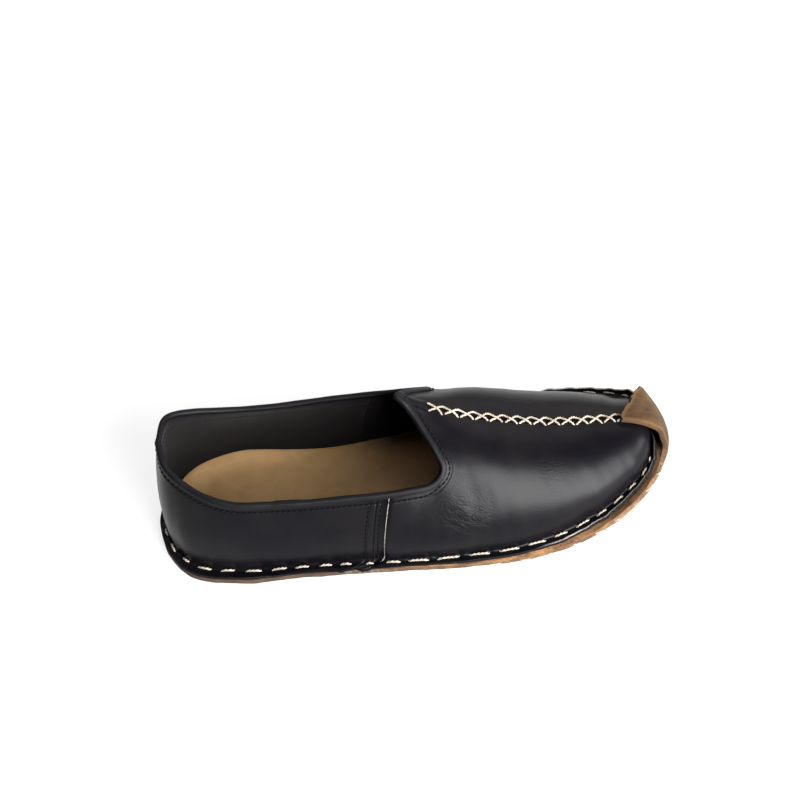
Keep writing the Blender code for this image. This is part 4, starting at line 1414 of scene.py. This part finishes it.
class Sole:
    """Middle layer of the sole's one sheet, whose front columns run on past its edge into the folded tab."""

    def __init__(self):
        self.arcs, pairs = ring_arcs()
        inset = OUTLINE.waver(self.arcs, SOLE_WAVES, SOLE_WAVER)
        self.columns = plate_columns(self.arcs, pairs, inset, SOLE_RINGS, self.height)
        self.rings = np.array(SOLE_RINGS)
        roots = [TAB_ROOT["inner"], TAB_ROOT["outer"]]
        self.across = np.interp(signed_arc(self.arcs), roots, [1.0, -1.0])
        self.beyond, self.turned, self.paths = {}, {}, {}
        inside = [int(i) for i in np.where(np.abs(self.across) < 1.0)[0]]
        for i in inside:
            self.fold(i)
        self.edge = {
            "outer": min(inside, key=lambda i: self.across[i]),
            "inner": max(inside, key=lambda i: self.across[i]),
        }
        for side in SIDES:
            self.flare(side, self.edge[side])

    @staticmethod
    def height(along, from_edge, arc):
        return sole_bottom(along, from_edge, arc) + SOLE_THICK / 2

    def fold(self, i):
        """Bends a column of the front up and back along the tab."""
        count, reach = len(self.rings), self.rings[-1]
        plain = self.columns[i][:count].copy()
        flat = plain[: FOLD_RING - 1 : -1]
        path = smooth_path(np.concatenate([flat, tab_line(self.across[i])]), TAB_POINTS)
        length = chord_lengths(path)
        low = np.linspace(0.0, FLARE_RISE, FLARE_ROWS + 1)[1:]
        high = np.linspace(FLARE_RISE, length[-1] - reach, TAB_ROWS - FLARE_ROWS + 1)[1:]
        self.columns[i][:count] = along_path(path, length, reach - self.rings)
        self.beyond[i] = along_path(path, length, reach + np.concatenate([low, high]))
        self.turned[i] = self.columns[i][:count] - plain
        self.paths[i] = path, length

    def flare(self, side, edge):
        """Lets the sole's edge beside the tab rise and run smoothly into the tab's side."""
        count, reach = len(self.rings), self.rings[-1]
        path, length = self.paths[edge]
        home = edge_frame(self.arcs[edge])
        turned = self.turned[edge] @ home.T
        sign = 1.0 if side == "outer" else -1.0
        away = (signed_arc(self.arcs) - signed_arc(self.arcs[edge])) * sign
        for i in np.where((away > 0) & (away < 4 * TAB_BLEND))[0]:
            here = edge_frame(self.arcs[i])
            weight = math.exp(-((away[i] / TAB_BLEND) ** 2))
            column = self.columns[i]
            slope = unit(column[0] - column[1])
            column[:count] += turned @ here * weight
            rise = FLARE_RISE * math.exp(-away[i] / FLARE_RUN)
            if rise > FLARE_LEAST:
                steps = np.linspace(0.0, rise, FLARE_ROWS + 1)[1:]
                lines = along_path(path, length, reach + steps) - along_path(path, length, reach)
                lines = lines @ home.T @ here
                lean = here[0] * (FLARE_LEAN * weight * steps)[:, None]
                self.beyond[i] = column[0] + lines * weight + slope * steps[:, None] * (1.0 - weight) - lean

    def corners(self):
        """Places where the tab's sides meet the sole's edge."""
        return [self.beyond[column][FLARE_ROWS - 1] for column in self.edge.values()]

    def sheet(self):
        """Columns from the middle line outward, and each point's share of the tab's thinner leather."""
        joined, thin = [], {}
        for i, column in enumerate(self.columns):
            extra = self.beyond.get(i)
            joined.append(column[::-1] if extra is None else np.concatenate([column[::-1], extra]))
            if extra is not None:
                thin[i] = smooth_ramp(chord_lengths(extra), 0.0, TAB_THIN_RUN)
        return joined, thin


def open_edge(faces):
    """Numbers of the points on the open edge of a sheet."""
    seen = {}
    for face in faces:
        for a, b in zip(face, face[1:] + face[:1]):
            key = (min(a, b), max(a, b))
            seen[key] = seen.get(key, 0) + 1
    return sorted({point for key, count in seen.items() if count == 1 for point in key})


def ease_round(points, faces, centres, reach):
    """Smooths a sheet and its open edge near some places, so that its edge turns there without a corner."""
    rim = set(open_edge(faces))
    beside = {}
    for face in faces:
        for a, b in zip(face, face[1:] + face[:1]):
            beside.setdefault(a, set()).add(b)
            beside.setdefault(b, set()).add(a)
    gap = np.min([np.linalg.norm(points - centre, axis=1) for centre in centres], axis=0)
    weight = EASE_SHARE * np.exp(-((gap / reach) ** 2))
    moved = np.where(weight > EASE_LEAST)[0]
    ring = {i: [k for k in beside[i] if i not in rim or k in rim] for i in moved}
    for _ in range(EASE_TIMES):
        means = np.array([points[ring[i]].mean(axis=0) for i in moved])
        points[moved] += (means - points[moved]) * weight[moved, None]
    return points


def nearest_gap(points, others):
    """Distance from each point to the nearest of others, worked out for a batch of them at a time."""
    gap, batch = np.full(len(points), math.inf), 60
    for start in range(0, len(others), batch):
        some = others[None, start : start + batch]
        gap = np.minimum(gap, np.linalg.norm(points[:, None] - some, axis=2).min(axis=1))
    return gap


def make_outsole():
    sole = Sole()
    columns, thin = sole.sheet()
    points, faces, _, numbers = knit(columns)
    faces = facing_up(points, faces, SOLE_CENTRE)
    points = ease_round(points, faces, sole.corners(), TAB_EASE)
    from_cut = nearest_gap(points, points[open_edge(faces)])
    tab = np.zeros(len(points))
    for i, share in thin.items():
        tab[numbers[i][-len(share) :]] = share
    depth, size = SOLE_SWELL
    points = points + point_normals(points, faces) * (roughly(points, size, 5) * depth)[:, None]
    fringe = smooth_ramp(points[:, 1], *FRAY_SIDE) * (tab > FRAY_SHARE)
    fringe = fringe * np.exp(-((from_cut / FRAY_REACH) ** 2))
    fine, coarse = FRAY_SIZES
    torn = fringe * FRAY * (roughly(points, fine, 9) + roughly(points, coarse, 11))
    points[:, :2] += torn[:, None] * np.array(FRAY_WAY)
    materials = (sole_grain(), sole_nap(), sole_cut())
    obj = new_piece("outsole_leather", points, faces, materials, from_cut=from_cut)
    add_thickness(obj, SOLE_THICK, 0.0, 1.0 - tab, TAB_SHARE, inner=1, rim=2)
    round_edges(obj)
    fit_piece(settle(obj), "sole_leather", "outsole")


def make_insole():
    arcs, pairs = ring_arcs()
    margin, flange = table_at(FLANGE_TABLE, OUTLINE.point(arcs)[:, 0])
    inset = margin + flange + UPPER_THICK + 2 * GAP

    def height(along, from_edge, _):
        margin, flange = table_at(FLANGE_TABLE, along)
        inside = np.clip(1.0 - (from_edge - margin - flange - UPPER_THICK) / SEAT_REACH, 0.0, 1.0)
        seat = SEAT_RISE * smooth_ramp(along, SEAT_FROM, SEAT_RUN) * inside**2 * (3.0 - 2.0 * inside)
        return sole_bottom(along, from_edge) + SOLE_THICK + GAP + INSOLE_THICK + seat

    columns = plate_columns(arcs, pairs, inset, INSOLE_RINGS, height)
    points, faces, _, _ = knit([column[::-1] for column in columns])
    faces = facing_up(points, faces, SOLE_CENTRE)
    from_cut = nearest_gap(points, points[open_edge(faces)])
    depth, size = INSOLE_SWELL
    points[:, 2] += smooth_ramp(from_cut, *INSOLE_CALM) * depth * roughly(points, size, 7)
    obj = new_piece("insole_leather", points, faces, (insole_leather(),), from_cut=from_cut)
    add_thickness(obj, INSOLE_THICK, -1.0)
    round_edges(obj)
    fit_piece(settle(obj), "insole_leather", "insole")


@functools.lru_cache(maxsize=None)
def thread_tree():
    """Sweeps twisted thread along the lines of a mesh."""
    tree = bpy.data.node_groups.new("twisted_thread", "GeometryNodeTree")
    inputs = (
        ("Lines", "Geometry"),
        ("Thickness", "Float"),
        ("Plies", "Int"),
        ("Twist", "Float"),
        ("Step", "Float"),
        ("Sides", "Int"),
        ("Finish", "Material"),
    )
    for name, kind in inputs:
        tree.interface.new_socket(name, in_out="INPUT", socket_type="NodeSocket" + kind)
    tree.interface.new_socket("Thread", in_out="OUTPUT", socket_type="NodeSocketGeometry")
    bench = Bench(tree)
    given = bench.add("NodeGroupInput")
    thick, plies, twist = (bench.amount(given, name) for name in ("Thickness", "Plies", "Twist"))
    curve = bench.add("GeometryNodeMeshToCurve", None, {"Mesh": given.outputs["Lines"]})
    step = {"Curve": curve.outputs[0], "Length": given.outputs["Step"]}
    even = bench.add("GeometryNodeResampleCurve", {"mode": "LENGTH"}, step)
    many = {"Geometry": even.outputs[0], "Amount": plies}
    copies = bench.add("GeometryNodeDuplicateElements", {"domain": "SPLINE"}, many)
    ply = bench.amount(copies, "Duplicate Index")
    length = bench.amount(bench.add("GeometryNodeSplineParameter"), "Length")
    turn = (length / twist + ply / plies) * (2 * math.pi)
    normal = bench.add("GeometryNodeInputNormal").outputs["Normal"]
    tangent = bench.add("GeometryNodeInputTangent").outputs["Tangent"]
    across = bench.add("ShaderNodeVectorMath", {"operation": "CROSS_PRODUCT"}, {0: normal, 1: tangent})
    ply_radius = thick * 0.5 / (1.0 + PLY_SPREAD * (1.0 - 1.0 / plies) * 2.0)
    away = thick * 0.5 - ply_radius
    parts = []
    for direction, share in ((normal, turn.cosine()), (across.outputs[0], turn.sine())):
        scaled = {"Vector": direction, "Scale": share * away}
        parts.append(bench.add("ShaderNodeVectorMath", {"operation": "SCALE"}, scaled).outputs[0])
    shift = bench.add("ShaderNodeVectorMath", {"operation": "ADD"}, {0: parts[0], 1: parts[1]})
    moved = {"Geometry": copies.outputs["Geometry"], "Offset": shift.outputs[0]}
    laid = bench.add("GeometryNodeSetPosition", None, moved)
    circle = {"Resolution": given.outputs["Sides"], "Radius": ply_radius}
    profile = bench.add("GeometryNodeCurvePrimitiveCircle", {"mode": "RADIUS"}, circle)
    swept = {"Curve": laid.outputs[0], "Profile Curve": profile.outputs["Curve"], "Fill Caps": True}
    tube = bench.add("GeometryNodeCurveToMesh", None, swept)
    smooth = bench.add("GeometryNodeSetShadeSmooth", None, {"Geometry": tube.outputs[0]})
    real = bench.add("GeometryNodeRealizeInstances", None, {"Geometry": smooth.outputs[0]})
    last = {"Geometry": real.outputs[0], "Material": given.outputs["Finish"]}
    done = bench.add("GeometryNodeSetMaterial", None, last)
    bench.add("NodeGroupOutput", None, {"Thread": done.outputs[0]})
    return tree


def make_thread(name, lines, thick, finish, slot, plies=2, sides=6, step=0.8, twist=4.2):
    """Thread swept along lines of points in millimetres."""
    mesh = bpy.data.meshes.new(name)
    points, edges = [], []
    for line in lines:
        edges += [(len(points) + k, len(points) + k + 1) for k in range(len(line) - 1)]
        points += list((np.asarray(line) - ORIGIN) * MM)
    mesh.from_pydata([tuple(p) for p in points], edges, [])
    obj = bpy.data.objects.new(name, mesh)
    bpy.context.scene.collection.objects.link(obj)
    tree = thread_tree()
    weave = obj.modifiers.new("thread", "NODES")
    weave.node_group = tree
    given = {
        "Thickness": thick * MM,
        "Plies": plies,
        "Twist": twist * MM,
        "Step": step * MM,
        "Sides": sides,
        "Finish": finish,
    }
    for item in tree.interface.items_tree:
        if item.in_out == "INPUT" and item.name in given:
            weave[item.identifier] = given[item.name]
    fit_piece(settle(obj), slot)


def stitch_lift(count, proud, dip, power=5.0):
    """Height of a stitch along its length: down in its holes at both ends, and proud between."""
    t = np.linspace(-1.0, 1.0, count)
    return proud - (proud + dip) * np.abs(t) ** power


def make_sole_stitches():
    """Thick pale running stitch in the flange's crease, and its lower side where the sole's edge shows it."""
    face = leather()
    thick = bpy.context.scene.shoe_threads.sole_thread / MM
    finish = thread_finish("sole_thread")
    rng = np.random.default_rng(SEED + 1)
    stitches = flange_stitches()
    shares = np.linspace(-1, 1, STITCH_POINTS)
    lines = []
    for start, end, inward in stitches:
        tilt = rng.uniform(-UNEVEN_TILT, UNEVEN_TILT)
        arcs = np.linspace(start, end, STITCH_POINTS)
        places = [flange_point(arc, inward + tilt * share) for arc, share in zip(arcs, shares)]
        proud = thick * (STITCH_PROUD + STITCH_UNEVEN * rng.uniform(-1, 1))
        lines.append(face.on_face(places, stitch_lift(STITCH_POINTS, proud, STITCH_DIP)))
    make_thread("flange_stitches", lines, thick, finish, "sole_leather", sides=7)
    lower, lifts = [], stitch_lift(LOWER_POINTS, LOWER_PROUD, LOWER_DIP, power=4.0)
    for (_, start, _), (end, _, _) in zip(stitches, stitches[1:]):
        middle, long = (start + end) / 2, LOWER_HALF + LOWER_LONGER * rng.uniform(0, 1)
        along = float(OUTLINE.point(middle)[0])
        inset = LOWER_INSET + LOWER_DEEPER * (1.0 - float(smooth_ramp(along, *LOWER_ALONG)))
        if inset > LOWER_HIDDEN:
            continue
        line = []
        for arc, lift in zip(np.linspace(middle - long, middle + long, LOWER_POINTS), lifts):
            plan = OUTLINE.inset(np.array([arc]), np.array([inset - lift]))[0]
            line.append((*plan, float(sole_bottom(along, inset, middle)) + LOWER_HEIGHT))
        lower.append(line)
    make_thread("sole_edge_stitches", lower, thick * LOWER_THREAD, finish, "sole_leather")


def make_cross_stitches():
    """Cream thread laced over the centre seam, in arches whose legs cross those of their neighbours."""
    face = leather()
    thick = bpy.context.scene.shoe_threads.cross_thread / MM
    rng = np.random.default_rng(SEED + 2)
    shares, offsets = smooth_path(CROSS_ARCH, CROSS_POINTS).T
    leg = np.linspace(0.0, 1.0, CROSS_POINTS)
    near_first, near_last = (1.0 - leg) ** CROSS_LOOSE, leg**CROSS_LOOSE
    over = thick * CROSS_OVER * np.exp(-(((shares - 1.0) / CROSS_OVER_WIDTH) ** 2))
    bow = stitch_lift(CROSS_POINTS, thick * CROSS_PROUD, CROSS_DIP, power=12.0) + over
    lines = []
    for i in range(-1, CROSS_COUNT):
        first, last = (rng.uniform(-CROSS_UNEVEN, CROSS_UNEVEN, 2) for _ in range(2))
        along = CROSS_FIRST + CROSS_PITCH * (i + shares) + first[0] * near_first + last[0] * near_last
        crown = crown_at(along)
        side = crown[:, 0] + cross_side(along) + offsets + first[1] * near_first + last[1] * near_last
        places = np.column_stack([along, side, crown[:, 1] - CROSS_CURVE * offsets**2])
        kept = along > CROSS_FIRST - CROSS_START * CROSS_PITCH
        lines.append(face.on_face(places[kept], bow[kept]))
    finish = thread_finish("cross_thread")
    make_thread("cross_stitches", lines, thick, finish, "upper_leather", step=0.6, twist=3.0)


def stitch_row(path, long, gap, dip, proud):
    """Short stitches along a line on the leather, as lines raised from its face."""
    face, lift = leather(), proud + stitch_lift(FINE_POINTS, 0.0, dip, power=3.0)
    arcs = chord_lengths(path)
    number = int(arcs[-1] / (long + gap))
    pitch = arcs[-1] / number
    lines = []
    for k in range(number):
        at = np.linspace(k * pitch, k * pitch + pitch * long / (long + gap), FINE_POINTS)
        lines.append(face.on_face(along_path(path, arcs, at), lift))
    return lines


def collar_line(depth):
    """Line on the leather at a depth below the top edge, round the collar and throat."""
    face = leather()
    edge, below = (np.array(numbers) for numbers in face.top_edge())
    down = unit(loop_mean(unit(face.points[below] - face.points[edge]), 6))
    places = loop_mean(face.on_face(face.points[edge] + down * depth), 2)
    return np.concatenate([places, places[:1]])


def make_fine_stitches():
    """Dark rows: below the binding, beside the two side seams, and inside on the lining."""
    last = leather().last
    thick = bpy.context.scene.shoe_threads.fine_thread / MM
    lines = stitch_row(collar_line(COLLAR_ROW), *FINE_STITCH, thick * FINE_PROUD)
    for side in SIDES:
        rows = last.quarter[side]
        arcs = last.quarter_arcs(side)
        for behind in SEAM_ROWS:
            target = last.seam[side] + math.copysign(behind, arcs[-1] - arcs[0])
            column = int(np.argmin(np.abs(arcs - target)))
            path = rows[last.foot_rows - 2 : last.shoulder - 2, column]
            lines += stitch_row(path, *FINE_STITCH, thick * FINE_PROUD)
    inner = stitch_row(collar_line(LINING_ROW), *LINING_STITCH, -UPPER_THICK - thick * LINING_PROUD)
    for name, row in (("fine", lines), ("lining", inner)):
        finish = thread_finish(name + "_thread", DULL)
        make_thread(name + "_stitches", row, thick, finish, "upper_leather", plies=1, sides=5, step=0.5)


def soft_light(name, power, aim, direction, distance, size, tint):
    light = bpy.data.lights.new(name, "AREA")
    light.shape = "RECTANGLE"
    light.size, light.size_y = size
    light.energy = power
    light.color = tint
    obj = bpy.data.objects.new(name, light)
    way = Vector(direction).normalized()
    obj.location = Vector(aim) + way * distance
    obj.rotation_euler = way.to_track_quat("Z", "Y").to_euler()
    bpy.context.scene.collection.objects.link(obj)


def make_floor():
    steps = np.linspace(-FLOOR_SIZE / 2, FLOOR_SIZE / 2, FLOOR_CELLS + 1)
    points = [(x, y, -FLOOR_DROP) for y in steps for x in steps]
    corners = [row * len(steps) + column for row in range(FLOOR_CELLS) for column in range(FLOOR_CELLS)]
    faces = [(k, k + 1, k + len(steps) + 1, k + len(steps)) for k in corners]
    mesh = bpy.data.meshes.new("floor")
    mesh.from_pydata(points, [], faces)
    glow = {"Emission_Strength": FLOOR_GLOW, "Emission_Color": (*WHITE, 1.0)}
    finish = Finish("pale_floor", Roughness=0.9, Specular_IOR_Level=0.1, **glow)
    drift = finish.clouds(3.0, 2.0)
    mesh.materials.append(finish.done(Base_Color=finish.mix(drift, *FLOOR_GREYS)))
    obj = bpy.data.objects.new("floor", mesh)
    bpy.context.scene.collection.objects.link(obj)


def make_lights():
    stage = bpy.context.scene.shoe_stage
    world = bpy.data.worlds.new("studio")
    world.use_nodes = True
    back = world.node_tree.nodes["Background"]
    back.inputs["Color"].default_value = (*WHITE, 1.0)
    back.inputs["Strength"].default_value = stage.surround
    bpy.context.scene.world = world
    for setting, *place in SOFTBOXES:
        soft_light(setting + "_softbox", getattr(stage, setting), *place)


def make_camera():
    heading, height, roll = (math.radians(v) for v in (CAMERA_HEADING, CAMERA_HEIGHT, CAMERA_ROLL))
    right = Vector((math.cos(heading), -math.sin(heading), 0.0))
    front = Vector((math.sin(heading), math.cos(heading), 0.0))
    back = -front * math.cos(height) + Vector((0.0, 0.0, math.sin(height)))
    up = front * math.sin(height) + Vector((0.0, 0.0, math.cos(height)))
    place = Vector((np.array(CAMERA_AIM) - ORIGIN).tolist()) + back * CAMERA_DISTANCE
    turned_right = right * math.cos(roll) - up * math.sin(roll)
    turned_up = right * math.sin(roll) + up * math.cos(roll)
    camera = bpy.data.cameras.new("camera")
    camera.lens, camera.sensor_width, camera.sensor_fit = CAMERA_LENS, CAMERA_SENSOR, "HORIZONTAL"
    camera.clip_start, camera.clip_end = CAMERA_CLIP
    obj = bpy.data.objects.new("camera", camera)
    turn = Matrix((turned_right, turned_up, back)).transposed().to_4x4()
    obj.matrix_world = Matrix.Translation(place * MM) @ turn
    bpy.context.scene.collection.objects.link(obj)
    bpy.context.scene.camera = obj


def dye(name, description, default):
    words = {"name": name, "description": description, "default": default, "subtype": "COLOR"}
    return bpy.props.FloatVectorProperty(**words, size=3, min=0.0, max=1.0)


def dial(name, description, default, least=0.0, **kind):
    return bpy.props.FloatProperty(name=name, description=description, default=default, min=least, **kind)


class ShoeColours(bpy.types.PropertyGroup):
    """Colours of the leathers and threads."""

    upper: dye("Upper", "Smooth black leather of the upper", (0.0016, 0.0014, 0.0024))
    upper_lit: dye("Upper, lighter", "Lighter drift in the black leather", (0.0032, 0.0028, 0.0034))
    lining: dye("Lining", "Napped leather inside", (0.0022, 0.0018, 0.0019))
    lining_lit: dye("Lining, lighter", "Brushed lighter patches inside", (0.0052, 0.0040, 0.0040))
    raw_edge: dye("Raw edge", "Cut edge of the upper's leather", (0.40, 0.37, 0.345))
    raw_edge_dark: dye("Raw edge, darker", "Darker fibres of a cut edge", (0.13, 0.12, 0.11))
    sole: dye("Sole", "Tan leather of the sole", (0.32, 0.165, 0.070))
    sole_dark: dye("Sole, darker", "Darker stains in the tan leather", (0.042, 0.022, 0.0105))
    sole_cut: dye("Sole edge", "Cut edge of the sole", (0.135, 0.070, 0.029))
    # Painted shade on the sole's edge round the heel and waist, where the lights fall away
    sole_heel_shade: dye("Sole at the heel", "Darkened edge round the heel and waist", (0.026, 0.017, 0.011))
    nap: dye("Tab", "Brushed face of the sole and its tab", (0.064, 0.032, 0.0110))
    nap_dark: dye("Tab, darker", "Darker brushed patches", (0.023, 0.0115, 0.004))
    insole: dye("Insole", "Natural leather of the insole", (0.32, 0.195, 0.084))
    insole_dark: dye("Insole, darker", "Darker drift in the natural leather", (0.255, 0.153, 0.064))
    insole_pale: dye("Insole veins", "Pale veins in the natural leather", (0.36, 0.23, 0.11))
    # Insole front: painted shade under the vamp, with the worn patina of the insole
    insole_front: dye("Insole front", "Browner leather towards the front", (0.13, 0.056, 0.025))
    sole_thread: dye("Sole thread", "Waxed thread round the flange", (0.34, 0.30, 0.25))
    sole_thread_dark: dye("Sole thread, darker", "Handled parts of that thread", (0.20, 0.17, 0.135))
    cross_thread: dye("Cross thread", "Cream thread over the centre seam", (0.35, 0.30, 0.245))
    cross_thread_dark: dye("Cross thread, darker", "Shaded parts of that thread", (0.18, 0.147, 0.11))
    fine_thread: dye("Fine thread", "Black thread of the fine rows", (0.004, 0.004, 0.0045))
    fine_thread_dark: dye("Fine thread, darker", "Shaded parts of that thread", (0.002, 0.002, 0.0022))
    lining_thread: dye("Lining thread", "Thread that shows inside", (0.009, 0.0075, 0.0068))
    lining_thread_dark: dye("Lining thread, darker", "Shaded parts of that thread", (0.005, 0.0042, 0.0038))


class ShoeThreads(bpy.types.PropertyGroup):
    """Thread thicknesses."""

    sole_thread: dial("Sole thread", "Thickness of the running stitch", 0.0013, 0.0005, unit="LENGTH")
    cross_thread: dial("Cross thread", "Thickness of the cross-stitch", 0.00125, 0.0004, unit="LENGTH")
    fine_thread: dial("Fine thread", "Thickness of the fine rows", 0.0007, 0.0002, unit="LENGTH")


class ShoeStage(bpy.types.PropertyGroup):
    """Strength of the studio lights."""

    key: dial("Key", "Softbox on the outer side", 165.0, unit="POWER")
    toe: dial("Toe", "Low softbox ahead of the toe", 8.0, unit="POWER")
    back: dial("Back", "Warm softbox behind the inner side", 7.0, unit="POWER")
    overhead: dial("Overhead", "Broad softbox above", 20.0, unit="POWER")
    surround: dial("Surround", "Even light all round", 0.05, subtype="FACTOR")


class SHOE_OT_outsole(bpy.types.Operator):
    """Cut the sole and fold its front end back over the toe."""

    bl_idname = "shoe.outsole"
    bl_label = "Outsole and toe tab"

    def execute(self, context):
        make_outsole()
        return {"FINISHED"}


class SHOE_OT_insole(bpy.types.Operator):
    """Lay the dished insole."""

    bl_idname = "shoe.insole"
    bl_label = "Insole"

    def execute(self, context):
        make_insole()
        return {"FINISHED"}


class SHOE_OT_upper(bpy.types.Operator):
    """Last the upper, with its flange, lapped side seams and creases."""

    bl_idname = "shoe.upper"
    bl_label = "Upper"

    def execute(self, context):
        make_upper()
        return {"FINISHED"}


class SHOE_OT_binding(bpy.types.Operator):
    """Fold the binding over the collar and throat."""

    bl_idname = "shoe.binding"
    bl_label = "Collar binding"

    def execute(self, context):
        make_binding()
        return {"FINISHED"}


class SHOE_OT_sole_stitches(bpy.types.Operator):
    """Sew the flange down on the sole."""

    bl_idname = "shoe.sole_stitches"
    bl_label = "Sole stitches"

    def execute(self, context):
        make_sole_stitches()
        return {"FINISHED"}


class SHOE_OT_cross_stitches(bpy.types.Operator):
    """Lace the centre seam with crosses."""

    bl_idname = "shoe.cross_stitches"
    bl_label = "Cross-stitches"

    def execute(self, context):
        make_cross_stitches()
        return {"FINISHED"}


class SHOE_OT_fine_stitches(bpy.types.Operator):
    """Sew the dark rows of the collar, side seams and lining."""

    bl_idname = "shoe.fine_stitches"
    bl_label = "Fine stitches"

    def execute(self, context):
        make_fine_stitches()
        return {"FINISHED"}


class SHOE_OT_stage(bpy.types.Operator):
    """Set the floor, the lights and the camera."""

    bl_idname = "shoe.stage"
    bl_label = "Stage"

    def execute(self, context):
        make_floor()
        make_lights()
        make_camera()
        context.scene.view_settings.view_transform = "Standard"
        return {"FINISHED"}


OPERATORS = (
    SHOE_OT_outsole,
    SHOE_OT_insole,
    SHOE_OT_upper,
    SHOE_OT_binding,
    SHOE_OT_sole_stitches,
    SHOE_OT_cross_stitches,
    SHOE_OT_fine_stitches,
    SHOE_OT_stage,
)


class SHOE_PT_pieces(bpy.types.Panel):
    """Pieces of the shoe in the order they are made."""

    bl_idname = "SHOE_PT_pieces"
    bl_label = "Slip-on shoe"
    bl_space_type = "VIEW_3D"
    bl_region_type = "UI"
    bl_category = "Shoe"

    def draw(self, context):
        for operator in OPERATORS:
            self.layout.operator(operator.bl_idname)
        for group in (context.scene.shoe_threads, context.scene.shoe_colours, context.scene.shoe_stage):
            for name in group.__annotations__:
                self.layout.prop(group, name)


CLASSES = (ShoeColours, ShoeThreads, ShoeStage, *OPERATORS, SHOE_PT_pieces)


def register():
    for item in CLASSES:
        bpy.utils.register_class(item)
    bpy.types.Scene.shoe_colours = bpy.props.PointerProperty(type=ShoeColours)
    bpy.types.Scene.shoe_threads = bpy.props.PointerProperty(type=ShoeThreads)
    bpy.types.Scene.shoe_stage = bpy.props.PointerProperty(type=ShoeStage)


def unregister():
    del bpy.types.Scene.shoe_stage
    del bpy.types.Scene.shoe_threads
    del bpy.types.Scene.shoe_colours
    for item in reversed(CLASSES):
        bpy.utils.unregister_class(item)


def main():
    register()
    for operator in OPERATORS:
        group, name = operator.bl_idname.split(".")
        getattr(getattr(bpy.ops, group), name)()


if __name__ == "__main__":
    main()
